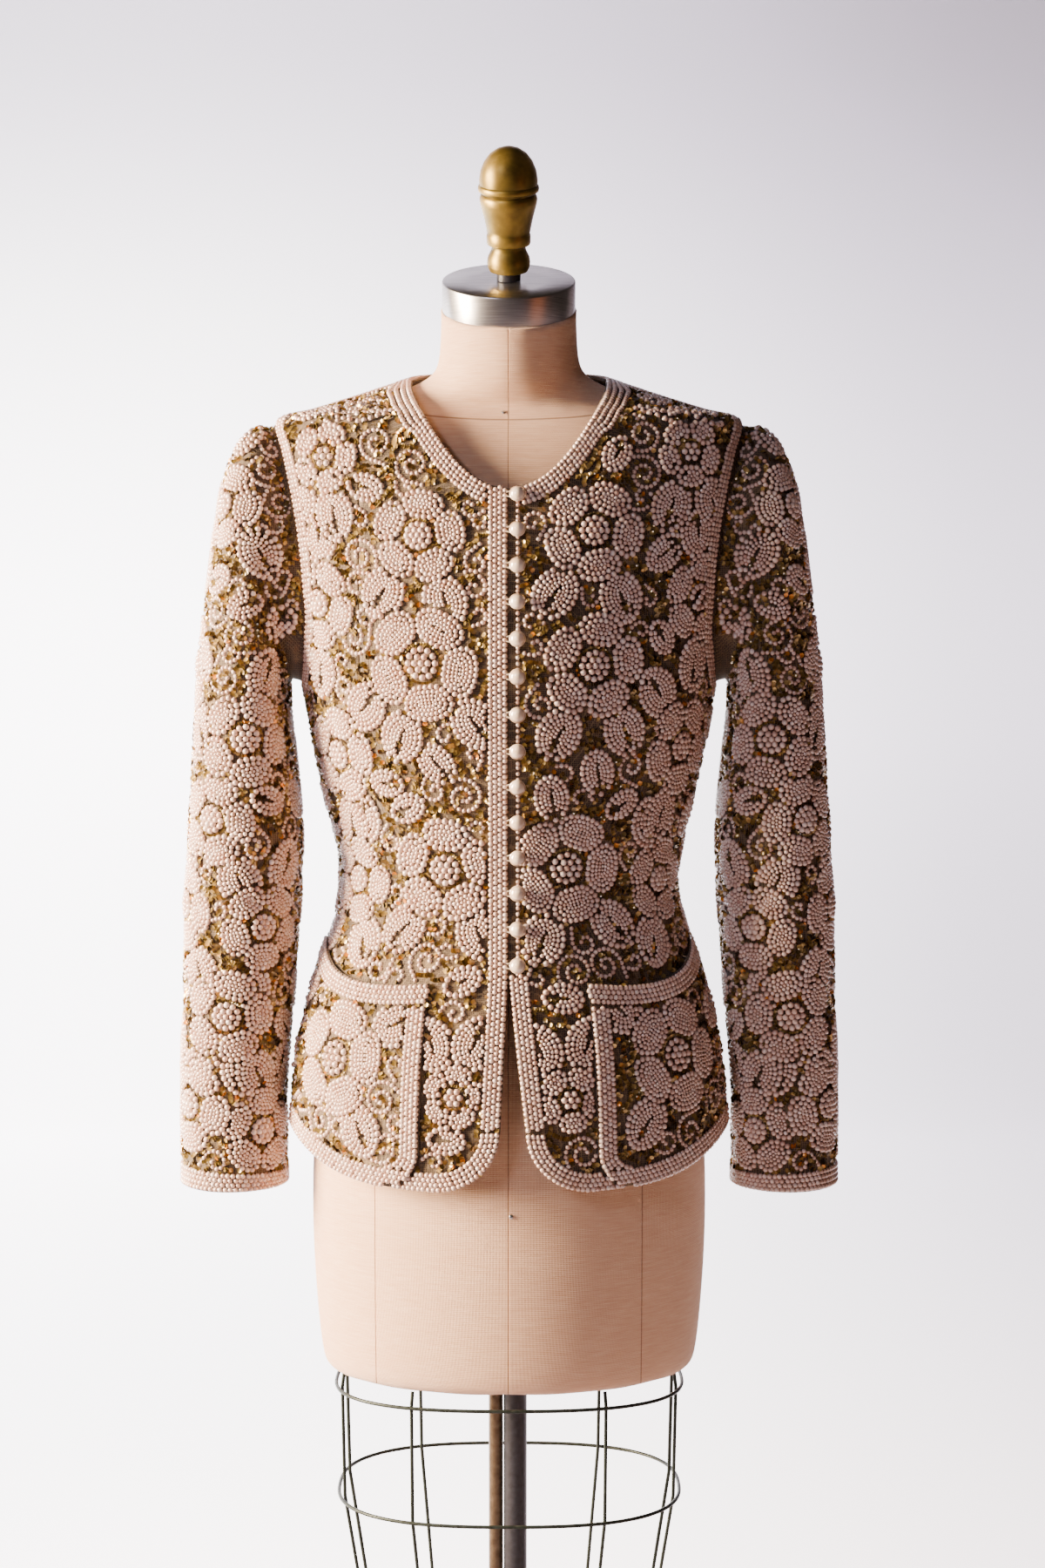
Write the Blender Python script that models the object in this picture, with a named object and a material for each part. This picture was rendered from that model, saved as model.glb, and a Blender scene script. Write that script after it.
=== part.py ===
"""A pearl-beaded, hip-length jacket worn by a limbless dress form on a wire cage, pole and round base.

Metres, +Z up. The front faces -Y. Sides are the wearer's: right lies at -X and left at +X.
The origin is on the floor, under the middle of the base.
The jacket is a set of cloth walls on one body surface, which is a stack of tilted oval rings.
A place on that surface is an angle (0 at the centre front, 90 at the wearer's left side, 180 at
the centre back) and a ring number, counted from the hem up and across the shoulder to the neck.
"""

import math

import bmesh
import bpy
import numpy as np
from mathutils import Matrix, Vector

MM = 0.001

# Cloth, seams and beadwork
CLOTH = 2.0 * MM
SEAM_GAP = 0.3 * MM
BAND_WIDTH = 17.0 * MM
BAND_STEP = 3.0 * MM
BAND_HEIGHT = 3.2 * MM
BAND_ROUND = 2.0 * MM
SHOULDER_BAND = 11.0 * MM
FLOWER_HEIGHT = 3.6 * MM
FLOWER_CENTRE_HEIGHT = 4.6 * MM
LEAF_HEIGHT = 3.0 * MM

# The jacket's body, one row for each ring from the hem to the neck
BODY_ROWS = (
    # height, half_width, front, back, centre_y, back_lift
    (0.735, 0.1785, 0.132, 0.120, 0.000, 0.000),
    (0.790, 0.1770, 0.132, 0.121, 0.000, 0.000),
    (0.850, 0.1710, 0.128, 0.118, 0.000, 0.000),
    (0.905, 0.1570, 0.116, 0.103, 0.000, 0.000),
    (0.950, 0.1415, 0.106, 0.090, 0.000, 0.000),
    (0.985, 0.1365, 0.103, 0.086, 0.000, 0.000),
    (1.025, 0.1435, 0.108, 0.090, 0.000, 0.000),
    (1.075, 0.1555, 0.119, 0.098, 0.000, 0.000),
    (1.130, 0.1650, 0.129, 0.105, 0.000, 0.000),
    (1.180, 0.1730, 0.127, 0.110, 0.000, 0.001),
    (1.235, 0.1820, 0.116, 0.112, 0.000, 0.002),
    (1.285, 0.1880, 0.103, 0.108, 0.001, 0.003),
    (1.325, 0.1900, 0.090, 0.098, 0.003, 0.004),
    (1.352, 0.1870, 0.078, 0.086, 0.005, 0.005),
    (1.361, 0.1580, 0.071, 0.078, 0.006, 0.006),
    (1.371, 0.1260, 0.064, 0.071, 0.007, 0.008),
    (1.380, 0.0980, 0.058, 0.065, 0.007, 0.010),
    (1.386, 0.0790, 0.054, 0.061, 0.008, 0.012),
)
SHOULDER_TIP_RING = 13
NECK_RING = len(BODY_ROWS) - 1

# Cut lines
FRONT_HEM = 0.747
SIDE_HEM = 0.785
BACK_HEM = 0.766
FRONT_CORNER_RADIUS = 0.052
# Share of a full quarter circle that the corner climbs
FRONT_CORNER_CLIMB = 0.92
OPENING_X_AT_HEM = 0.006
FRONT_OPENING = {"right": 0.006, "left": 0.012}
OPENING_TOP = 0.915
UNDERARM_HEIGHT = 1.140
NECK_SIDE_X = 0.079
NECK_FRONT_HEIGHT = 1.296
NECK_ROUNDNESS = 1.9
PRINCESS_ANGLE = 44.0
PRINCESS_SHOULDER_X = 0.120
ARMHOLE_FRONT_SWEEP = 26.0
ARMHOLE_BACK_SWEEP = 25.0
ARMHOLE_FULLNESS = 0.85

# Grid of a panel
LOWER_ROWS = 18
UPPER_ROWS = 12
PANEL_COLUMNS = 8
INNER_STRIDE = 2
# Between these rows the waist curves in, so the inner surface keeps every row
WAIST_ROWS = (7, 15)
# Rows above the underarm at which the front and back necklines start
FRONT_NECK_ROW = 5
BACK_NECK_ROW = 7

# The sleeve, one row for each ring below the armhole
SLEEVE_ROWS = (
    # outer_x, outer_z, inner_x, inner_z, half_depth, centre_y
    (0.2045, 1.3465, 0.1765, 1.1440, 0.054, 0.002),
    (0.2195, 1.3320, 0.1800, 1.1370, 0.057, 0.001),
    (0.2300, 1.3060, 0.1805, 1.1240, 0.060, 0.000),
    (0.2375, 1.2640, 0.1790, 1.1060, 0.061, -0.001),
    (0.2440, 1.2150, 0.1765, 1.0840, 0.061, -0.002),
    (0.2500, 1.1600, 0.1735, 1.0550, 0.060, -0.004),
    (0.2550, 1.1000, 0.1710, 1.0200, 0.058, -0.006),
    (0.2590, 1.0350, 0.1715, 0.9800, 0.055, -0.006),
    (0.2625, 0.9700, 0.1750, 0.9350, 0.052, -0.004),
    (0.2655, 0.8960, 0.1795, 0.8780, 0.049, 0.000),
    (0.2685, 0.8140, 0.1855, 0.8070, 0.047, 0.004),
    (0.2695, 0.7280, 0.1855, 0.7280, 0.047, 0.006),
)
SLEEVE_STEPS = 2
SLEEVE_GAP = 0.4 * MM
# How far the sleeve's first ring stands off the armhole
SLEEVE_HEAD = 7.0 * MM
# From the armhole to the sleeve head's ring the cap leans out of the seam, more so at the underarm
HEAD_OUTWARD = (0.05, 0.85)
HEAD_INTO = (1.0, 0.55)
# Rings kept flat at the armhole, and the share of a half girth that stays flat under the arm
PLAIN_HEAD_RINGS = 3
PLAIN_UNDERARM = (0.70, 1.35)
# Rings of the inner surface that are all kept, because the sleeve head curves there
FINE_HEAD_RINGS = 8
CUFF_BAND_RINGS = 1

# Flowers, with the directions of two leaves in degrees from up
FLOWERS = (
    # angle, height, radius, turn, leaf_a, leaf_b
    (-22, 1.258, 0.036, 10, 160, 215),
    (-23, 1.158, 0.043, 30, 140, 200),
    (-21, 0.996, 0.040, 5, 150, 215),
    (-50, 1.322, 0.029, 20, 170, 215),
    (-57, 1.205, 0.035, 40, 10, 190),
    (-58, 1.085, 0.037, 15, 45, 180),
    (-60, 0.985, 0.034, 25, 20, 160),
    (-52, 0.845, 0.044, 12, 60, 150),
    (-14, 0.822, 0.024, 12, 20, 335),
    (21, 1.262, 0.039, 25, 155, 210),
    (23, 1.156, 0.040, 8, 150, 205),
    (19, 0.998, 0.042, 20, 140, 200),
    (49, 1.326, 0.028, 35, 150, 200),
    (57, 1.210, 0.034, 5, 350, 175),
    (59, 1.092, 0.038, 30, 320, 190),
    (60, 0.985, 0.033, 10, 335, 200),
    (50, 0.848, 0.043, 22, 310, 215),
    (16, 0.820, 0.025, 30, 20, 330),
    (-158, 1.285, 0.038, 15, 150, 205),
    (-160, 1.175, 0.042, 32, 150, 210),
    (-158, 1.065, 0.038, 5, 150, 205),
    (-160, 0.965, 0.034, 20, 150, 210),
    (-158, 0.860, 0.043, 10, 30, 150),
    (-122, 1.300, 0.030, 25, 160, 200),
    (-120, 1.100, 0.037, 12, 20, 170),
    (-118, 0.985, 0.034, 35, 20, 165),
    (-116, 0.865, 0.043, 18, 40, 145),
    (158, 1.280, 0.039, 30, 155, 210),
    (160, 1.170, 0.041, 12, 150, 205),
    (158, 1.060, 0.039, 22, 150, 215),
    (160, 0.960, 0.034, 8, 150, 205),
    (158, 0.862, 0.042, 28, 330, 210),
    (122, 1.305, 0.030, 10, 165, 205),
    (120, 1.095, 0.038, 30, 340, 185),
    (118, 0.985, 0.034, 15, 340, 195),
    (116, 0.862, 0.044, 5, 320, 215),
)
# On a sleeve the place is an angle round it, 0 outermost and 90 in front, and the share of its length
SLEEVE_FLOWERS = (
    # angle, along, radius, turn, leaf_a, leaf_b
    (40, 0.130, 0.034, 10, 120, 210),
    (95, 0.330, 0.037, 25, 20, 200),
    (10, 0.340, 0.038, 5, 150, 210),
    (60, 0.500, 0.036, 15, 150, 215),
    (120, 0.570, 0.034, 35, 20, 190),
    (20, 0.640, 0.036, 20, 150, 215),
    (85, 0.745, 0.037, 12, 150, 210),
    (40, 0.890, 0.038, 30, 20, 335),
    (130, 0.900, 0.034, 5, 20, 340),
    (-60, 0.220, 0.036, 22, 150, 205),
    (-40, 0.450, 0.037, 8, 150, 210),
    (-110, 0.430, 0.036, 30, 20, 195),
    (-80, 0.640, 0.037, 14, 150, 215),
    (-45, 0.800, 0.037, 26, 150, 205),
    (-125, 0.800, 0.036, 9, 20, 200),
    (-85, 0.925, 0.035, 18, 20, 330),
)
PETALS = 5
# Shares of a flower's radius
PETAL_DISTANCE = 0.62
PETAL_RADIUS = 0.40
BOSS_RADIUS = 0.30
LEAF_START = 0.9
MOUND_FULLNESS = 1.6
LEAF_LENGTH = 0.046
LEAF_WIDTH = 0.026

# Pockets
POCKET_INNER_ANGLE = 23.0
POCKET_OUTER_ANGLE = 81.0
POCKET_INNER_TOP = 0.908
POCKET_OUTER_TOP = 0.936
POCKET_DIP = 0.006
POCKET_CORNER = 0.030
POCKET_CORNER_CLIMB = 0.9
POCKET_WIDTH = 0.155
# Step from a band's edge down to the pocket's ground, as a share of the width and of the band
POCKET_SIDE_STEP = 0.02
POCKET_BAND_STEP = 0.15
POCKET_LIFT = 0.9 * MM
# The panel stays flat this far past a pocket: degrees at its inner and outer side, and above it
PLAIN_BESIDE = (6.0, 3.0)
PLAIN_ABOVE = 0.010
POCKET_ROWS = 8
POCKET_COLUMNS = 10
POCKET_BOTTOM_MARGIN = 2.0 * MM

# Buttons
BUTTON_COUNT = 14
BUTTON_X = 7.0 * MM
BUTTON_TOP = 1.290
BUTTON_BOTTOM = 0.922
BUTTON_SIDES = 10
BUTTON_PROFILE = (
    # radius, height
    (4.6, 0.0),
    (6.2, 0.8),
    (6.2, 1.5),
    (5.0, 3.8),
    (2.6, 5.4),
)
BUTTON_CROWN = 5.9 * MM

# The dress form, one row for each ring from its underside to the top of its neck
FORM_ROWS = (
    # height, half_width, front, back, centre_y, back_lift
    (0.576, 0.1460, 0.092, 0.090, 0.000, 0.000),
    (0.580, 0.1520, 0.099, 0.097, 0.000, 0.000),
    (0.588, 0.1560, 0.104, 0.102, 0.000, 0.000),
    (0.640, 0.1610, 0.109, 0.108, 0.000, 0.000),
    (0.700, 0.1640, 0.112, 0.111, 0.000, 0.000),
    (0.770, 0.1630, 0.111, 0.110, 0.000, 0.000),
    (0.850, 0.1540, 0.104, 0.100, 0.000, 0.000),
    (0.920, 0.1340, 0.094, 0.080, 0.000, 0.000),
    (0.985, 0.1180, 0.086, 0.070, 0.000, 0.000),
    (1.060, 0.1290, 0.096, 0.078, 0.000, 0.000),
    (1.140, 0.1450, 0.109, 0.088, 0.000, 0.000),
    (1.220, 0.1540, 0.101, 0.095, 0.000, 0.001),
    (1.280, 0.1640, 0.088, 0.094, 0.001, 0.003),
    (1.325, 0.1740, 0.077, 0.084, 0.003, 0.004),
)
# Rings of the jacket's shoulder that the form follows a little lower and narrower
FORM_SHOULDER_RINGS = (
    # ring, narrower, lower
    (13.0, 0.015, 0.0025),
    (13.5, 0.015, 0.0025),
    (14.0, 0.0020, 0.0005),
    (15.0, 0.0010, 0.0),
    (16.0, 0.0010, 0.0),
)
SHOULDER_CLEARANCE = 6.5 * MM
SHOULDER_INSET_FRONT = 9.0 * MM
SHOULDER_INSET_BACK = 18.0 * MM
NECK_ROWS = (
    # height, half_width, front, back, centre_y, back_lift
    (1.386, 0.0640, 0.052, 0.056, 0.002, 0.012),
    (1.398, 0.0565, 0.053, 0.053, -0.004, 0.015),
    (1.420, 0.0552, 0.053, 0.053, -0.010, 0.019),
    (1.440, 0.0545, 0.053, 0.053, -0.016, 0.022),
)
FORM_SIDES = 28
CAP_RADIUS = 0.0535
CAP_HEIGHT = 0.024
CAP_BEVEL = 1.2 * MM
CAP_SIDES = 36

# Finial, turned: radius and height above the cap in millimetres
FINIAL_STEM_RADIUS = 9.5 * MM
FINIAL_STEM_HEIGHT = 6.0 * MM
FINIAL_PROFILE = (
    # radius, height
    (12.0, 0.0),
    (16.5, 4.0),
    (17.2, 10.0),
    (14.6, 17.0),
    (13.8, 21.0),
    (17.2, 23.0),
    (17.2, 31.0),
    (19.0, 41.0),
    (22.0, 53.0),
    (23.0, 58.0),
    (20.8, 62.0),
    (24.2, 65.0),
    (24.2, 68.5),
    (22.8, 71.0),
    (21.8, 80.0),
    (17.6, 90.0),
    (9.6, 97.0),
)
FINIAL_TOP = 99.5 * MM
FINIAL_SIDES = 20

# Pole, cage and base
POLE_RADIUS = 9.6 * MM
POLE_X = 5.0 * MM
TUBE_RADIUS = 6.0 * MM
TUBE_X = -11.2 * MM
TUBE_Y = 4.0 * MM
POLE_SIDES = 16
WIRE_RADIUS = 1.5 * MM
WIRE_SIDES = 6
# The hoops have flat facets, so the wires stand a little further inside them
WIRE_SLACK = 0.6 * MM
CAGE_RINGS = (
    # height, half_width, half_depth
    (0.5640, 0.1430, 0.0930),
    (0.4740, 0.1410, 0.1030),
    (0.3600, 0.1220, 0.0880),
)
CAGE_TOP = (0.1415, 0.0900)
CAGE_SQUARENESS = 2.6
CAGE_WIRE_ANGLES = (28, 78, 102, 152, 208, 258, 282, 332)
CAGE_RING_STEPS = 28
BASE_RADIUS = 0.200
BASE_SIDES = 40
BASE_PROFILE = (
    # radius, height, in millimetres
    (200.0, 0.0),
    (200.0, 9.0),
    (194.0, 14.0),
    (120.0, 20.0),
    (46.0, 27.0),
    (34.0, 34.0),
    (30.0, 62.0),
    (24.0, 66.0),
)
BASE_TOP = 66.0 * MM

SIDE_SIGN = {"right": -1.0, "left": 1.0}

# Edges sharper than these angles, in degrees, stay crisp
CLOTH_SHARP_ANGLE = 40.0
TURNED_SHARP_ANGLE = 35.0
FORM_SHARP_ANGLE = 50.0

# Colours as sRGB, roughness, metallic
FINISHES = {
    "beaded_cloth": ((0.80, 0.70, 0.58), 0.45, 0.0),
    "pearl": ((0.93, 0.87, 0.80), 0.25, 0.0),
    "linen": ((0.84, 0.72, 0.58), 0.85, 0.0),
    "steel": ((0.75, 0.74, 0.74), 0.30, 1.0),
    "gold": ((0.66, 0.54, 0.28), 0.38, 0.9),
    "charcoal_paint": ((0.11, 0.11, 0.13), 0.45, 0.0),
    "bronze_tube": ((0.42, 0.37, 0.30), 0.40, 0.8),
    "dark_wire": ((0.14, 0.16, 0.15), 0.50, 0.6),
    "cast_iron": ((0.13, 0.13, 0.14), 0.60, 0.3),
}


def clear_scene():
    for thing in list(bpy.data.objects):
        bpy.data.objects.remove(thing, do_unlink=True)


def finish(name):
    """The material of one finish, made once."""
    found = bpy.data.materials.get(name)
    if found:
        return found
    colour, roughness, metallic = FINISHES[name]
    material = bpy.data.materials.new(name)
    material.use_nodes = True
    shader = material.node_tree.nodes["Principled BSDF"]
    linear = [channel**2.2 for channel in colour]
    shader.inputs["Base Color"].default_value = (*linear, 1.0)
    shader.inputs["Roughness"].default_value = roughness
    shader.inputs["Metallic"].default_value = metallic
    return material


def make_object(name, points, faces, finish_name):
    """One named solid from its points and faces, in place."""
    mesh = bpy.data.meshes.new(name)
    mesh.from_pydata([tuple(point) for point in points], [], faces)
    mesh.validate()
    mesh.shade_smooth()
    mesh.set_sharp_from_angle(angle=math.radians(CLOTH_SHARP_ANGLE))
    mesh.materials.append(finish(finish_name))
    thing = bpy.data.objects.new(name, mesh)
    bpy.context.scene.collection.objects.link(thing)


# Surfaces


def smooth_rows(rows, place):
    """A smooth curve through the rows of a table, read at the row numbers in place."""
    table = np.array(rows)
    place = np.clip(np.asarray(place, float), 0.0, len(table) - 1.0)
    low = np.minimum(place.astype(int), len(table) - 2)
    share = (place - low)[..., None]
    slopes = np.gradient(table, axis=0)
    start, end = table[low], table[low + 1]
    out, into = slopes[low], slopes[low + 1]
    square, cube = share**2, share**3
    return (
        (2 * cube - 3 * square + 1) * start
        + (cube - 2 * square + share) * out
        + (3 * square - 2 * cube) * end
        + (cube - square) * into
    )


DENSE_RINGS = np.linspace(0.0, NECK_RING, 1701)
DENSE_BODY = smooth_rows(BODY_ROWS, DENSE_RINGS)


def ring_at_height(height):
    return np.interp(height, DENSE_BODY[:, 0], DENSE_RINGS)


def ring_at_shoulder_x(half_width):
    """The ring above the shoulder tip whose half width is this."""
    above = DENSE_RINGS >= SHOULDER_TIP_RING
    return np.interp(-np.asarray(half_width), -DENSE_BODY[above, 1], DENSE_RINGS[above])


def oval_point(rows, angle, ring):
    """Points on a stack of tilted ovals, angles in degrees."""
    height, half_width, front, back, centre_y, back_lift = np.moveaxis(smooth_rows(rows, ring), -1, 0)
    turn = np.radians(angle)
    depth = np.where(np.cos(turn) > 0, front, back)
    return np.stack(
        [
            half_width * np.sin(turn),
            centre_y - depth * np.cos(turn),
            height - back_lift * np.cos(turn),
        ],
        axis=-1,
    )


def body_point(angle, ring):
    return oval_point(BODY_ROWS, angle, ring)


def body_normal(angle, ring):
    """Outward normals of the body surface, from small steps across it."""
    angle, ring = np.broadcast_arrays(np.asarray(angle, float), np.asarray(ring, float))
    ring = np.clip(ring, 0.01, NECK_RING - 0.01)
    across = body_point(angle + 0.2, ring) - body_point(angle - 0.2, ring)
    up = body_point(angle, ring + 0.01) - body_point(angle, ring - 0.01)
    normal = np.cross(across, up)
    return normal / np.linalg.norm(normal, axis=-1, keepdims=True)


def hem_height(angle):
    """The hem dips in front and behind, and rises over the hips."""
    turn = np.radians(angle)
    low = np.where(np.cos(turn) > 0, FRONT_HEM, BACK_HEM)
    return low + (SIDE_HEM - low) * np.abs(np.sin(turn)) ** 5


def front_hem_height(angle):
    """The hem with the rounded corner at the front edge."""
    x = np.abs(body_point(angle, ring_at_height(FRONT_HEM))[..., 0])
    inside = np.clip(1.0 - (x - OPENING_X_AT_HEM) / FRONT_CORNER_RADIUS, 0.0, 1.0)
    climb = FRONT_CORNER_RADIUS * FRONT_CORNER_CLIMB * (1.0 - np.sqrt(1.0 - inside**2))
    return hem_height(angle) + climb


def front_edge_angle(side, ring):
    """The front edge stands straight to the last button and swings away below it."""
    row = smooth_rows(BODY_ROWS, ring)
    drop = np.clip((OPENING_TOP - row[..., 0]) / (OPENING_TOP - FRONT_HEM), 0.0, 1.0)
    x = SEAM_GAP / 2 + FRONT_OPENING[side] * drop**1.1
    return np.degrees(np.arcsin(x / row[..., 1]))


# Tracks: the lines that bound the panels, each as angle and ring


def spread(track, distances_from_start):
    """Angles and rings along a dense track, at distances in metres along it."""
    points = body_point(track[0], track[1])
    along = np.concatenate([[0.0], np.cumsum(np.linalg.norm(np.diff(points, axis=0), axis=1))])
    wanted = distances_from_start(along[-1])
    return np.stack([np.interp(wanted, along, track[0]), np.interp(wanted, along, track[1])])


def lower_distances(length):
    """Row places from the hem to the underarm level, with the hem band's edge."""
    rest = np.linspace(BAND_WIDTH + BAND_STEP, length, LOWER_ROWS - 1)
    return np.concatenate([[0.0, BAND_WIDTH], rest])


def upper_distances(length):
    """Row places from the underarm level to the shoulder, with the shoulder band's edge."""
    rest = np.linspace(0.0, length - SHOULDER_BAND - BAND_STEP, UPPER_ROWS - 1)
    return np.concatenate([rest, [length - SHOULDER_BAND, length]])


def neck_distances(rows):
    """Row places along a neckline of this many rows, with the shoulder band's edge."""

    def places(length):
        rest = np.linspace(0.0, length - SHOULDER_BAND - BAND_STEP, rows - 1)
        return np.concatenate([rest, [length - SHOULDER_BAND, length]])

    return places


def join_tracks(*parts):
    """Joins tracks that follow on, each with its own way to place its rows."""
    joined = spread(*parts[0])
    for part in parts[1:]:
        joined = np.concatenate([joined, spread(*part)[:, 1:]], axis=1)
    return joined


DENSE = np.linspace(0.0, 1.0, 241)


def straight_rings(low_height, high_height):
    return ring_at_height(low_height + (high_height - low_height) * DENSE)


def centre_front_track(side):
    low_rings = straight_rings(FRONT_HEM + FRONT_CORNER_RADIUS * FRONT_CORNER_CLIMB, UNDERARM_HEIGHT)
    high_rings = straight_rings(UNDERARM_HEIGHT, NECK_FRONT_HEIGHT)
    low = np.stack([front_edge_angle(side, low_rings), low_rings])
    high = np.stack([front_edge_angle(side, high_rings), high_rings])
    turn = DENSE * math.pi / 2
    neck_x = NECK_SIDE_X * np.sin(turn)
    neck_heights = BODY_ROWS[-1][0] - (BODY_ROWS[-1][0] - NECK_FRONT_HEIGHT) * np.cos(turn) ** NECK_ROUNDNESS
    neck_rings = ring_at_height(neck_heights)
    widths = smooth_rows(BODY_ROWS, neck_rings)[:, 1]
    neck_angles = np.degrees(np.arcsin(np.clip(neck_x / widths, 0.0, 1.0)))
    neck_angles = np.maximum(neck_angles, front_edge_angle(side, neck_rings))
    neck = np.stack([neck_angles, neck_rings])
    return join_tracks(
        (low, lower_distances),
        (high, lambda length: np.linspace(0.0, length, FRONT_NECK_ROW + 1)),
        (neck, neck_distances(UPPER_ROWS - FRONT_NECK_ROW)),
    )


def centre_back_track():
    low_rings = straight_rings(BACK_HEM, UNDERARM_HEIGHT)
    high_rings = ring_at_height(UNDERARM_HEIGHT) + (NECK_RING - ring_at_height(UNDERARM_HEIGHT)) * DENSE
    low = np.stack([np.full(len(DENSE), 180.0), low_rings])
    high = np.stack([np.full(len(DENSE), 180.0), high_rings])
    neck = np.stack([180.0 - 90.0 * DENSE, np.full(len(DENSE), float(NECK_RING))])
    return join_tracks(
        (low, lower_distances),
        (high, lambda length: np.linspace(0.0, length, BACK_NECK_ROW + 1)),
        (neck, neck_distances(UPPER_ROWS - BACK_NECK_ROW)),
    )


def princess_track(back):
    hem = float(hem_height(180.0 - PRINCESS_ANGLE if back else PRINCESS_ANGLE))
    low_rings = straight_rings(hem, UNDERARM_HEIGHT)
    top_ring = float(ring_at_shoulder_x(PRINCESS_SHOULDER_X))
    start_ring = float(ring_at_height(UNDERARM_HEIGHT))
    high_rings = start_ring + (top_ring - start_ring) * np.sin(DENSE * math.pi / 2)
    widths = smooth_rows(BODY_ROWS, high_rings)[:, 1]
    start_x = widths[0] * math.sin(math.radians(PRINCESS_ANGLE))
    high_x = start_x + (PRINCESS_SHOULDER_X - start_x) * DENSE
    high_angles = np.degrees(np.arcsin(np.clip(high_x / widths, 0.0, 1.0)))
    high_angles[-1] = 90.0
    low = np.stack([np.full(len(DENSE), PRINCESS_ANGLE), low_rings])
    track = join_tracks((low, lower_distances), (np.stack([high_angles, high_rings]), upper_distances))
    if back:
        track[0] = 180.0 - track[0]
    return track


def armhole_curve(turn, back):
    """The armhole from the underarm, turn 0, to the shoulder tip, turn 1."""
    around = np.pi * turn
    sweep = ARMHOLE_BACK_SWEEP if back else ARMHOLE_FRONT_SWEEP
    angles = 90.0 - sweep * np.sin(around) ** ARMHOLE_FULLNESS
    top = BODY_ROWS[SHOULDER_TIP_RING][0]
    heights = (top + UNDERARM_HEIGHT) / 2 - (top - UNDERARM_HEIGHT) / 2 * np.cos(around)
    return np.stack([180.0 - angles if back else angles, ring_at_height(heights)])


def side_track(back):
    low_rings = straight_rings(SIDE_HEM, UNDERARM_HEIGHT)
    low = np.stack([np.full(len(DENSE), 90.0), low_rings])
    return join_tracks((low, lower_distances), (armhole_curve(DENSE, back), upper_distances))


# Beadwork heights


def height_along_body():
    """Length of the body's profile up to each dense ring, taken half way round to the side."""
    points = body_point(np.full(len(DENSE_RINGS), 45.0), DENSE_RINGS)
    return np.concatenate([[0.0], np.cumsum(np.linalg.norm(np.diff(points, axis=0), axis=1))])


PROFILE_LENGTH = height_along_body()


def ring_to_length(ring):
    return np.interp(ring, DENSE_RINGS, PROFILE_LENGTH)


def body_offsets(angle, ring, flower_angle, flower_height):
    """How far places lie around and above a flower's centre, along the surface."""
    centre_ring = float(ring_at_height(flower_height))
    row = smooth_rows(BODY_ROWS, ring)
    middle = np.radians((angle + flower_angle) / 2)
    depth = np.where(np.cos(middle) > 0, row[..., 2], row[..., 3])
    speed = np.hypot(row[..., 1] * np.cos(middle), depth * np.sin(middle))
    around = np.radians(angle - flower_angle) * speed
    return around, ring_to_length(ring) - ring_to_length(centre_ring)


def mound(square):
    """A flat-topped mound, from the squared share of the way to its rim."""
    return np.clip(MOUND_FULLNESS * (1.0 - square), 0.0, 1.0)


def flower_height(around, up, radius, turn):
    """Petals as round mounds in a ring, and a round boss in the middle."""
    away = np.hypot(around, up)
    direction = np.degrees(np.arctan2(around, up)) - turn
    sector = 360.0 / PETALS
    offset = np.radians((direction + sector / 2) % sector - sector / 2)
    petal_distance = PETAL_DISTANCE * radius
    petal_radius = PETAL_RADIUS * radius
    across = np.hypot(away * np.cos(offset) - petal_distance, away * np.sin(offset))
    petal = FLOWER_HEIGHT * mound((across / petal_radius) ** 2)
    boss = FLOWER_CENTRE_HEIGHT * mound((away / (BOSS_RADIUS * radius)) ** 2)
    return np.maximum(petal, boss)


def leaf_height(around, up, radius, direction):
    """A leaf as a long mound that starts at the flower's rim."""
    turn = math.radians(direction)
    along = around * math.sin(turn) + up * math.cos(turn) - (radius * LEAF_START + LEAF_LENGTH / 2)
    aside = around * math.cos(turn) - up * math.sin(turn)
    share = (along / (LEAF_LENGTH / 2)) ** 2 + (aside / (LEAF_WIDTH / 2)) ** 2
    return LEAF_HEIGHT * mound(share)


def motif_height(around, up, radius, turn, leaf_a, leaf_b):
    height = flower_height(around, up, radius, turn)
    height = np.maximum(height, leaf_height(around, up, radius, leaf_a))
    return np.maximum(height, leaf_height(around, up, radius, leaf_b))


def body_motifs(angle, ring, sign):
    """Height of the flowers and leaves at places on one side of the body."""
    height = np.zeros(np.shape(angle))
    for flower_angle, flower_z, radius, turn, leaf_a, leaf_b in FLOWERS:
        around, up = body_offsets(sign * angle, ring, flower_angle, flower_z)
        height = np.maximum(height, motif_height(around, up, radius, turn, leaf_a, leaf_b))
    return height


# Walls


def fan_rim(outer, inner, stops):
    """Triangles between a fine outer edge and an inner edge with only the points at stops."""
    faces = []
    for place, (start, end) in enumerate(zip(stops[:-1], stops[1:])):
        near, far = inner[place], inner[place + 1]
        middle = (start + end) // 2
        for step in range(start, end):
            corner = near if step < middle or end == start + 1 else far
            faces.append((corner, outer[step], outer[step + 1]))
        faces.append((near, outer[middle] if middle > start else outer[end], far))
    return faces


def even_stops(count, stride):
    stops = list(range(0, count - 1, stride))
    return stops + [count - 1]


def flip(faces):
    return [tuple(reversed(face)) for face in faces]


def sheet_faces(ids):
    rows, columns = ids.shape
    faces = []
    for row in range(rows - 1):
        for column in range(columns - 1):
            near, beside = ids[row, column], ids[row, column + 1]
            above, across = ids[row + 1, column], ids[row + 1, column + 1]
            faces += [(near, beside, across), (near, across, above)]
    return faces


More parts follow.
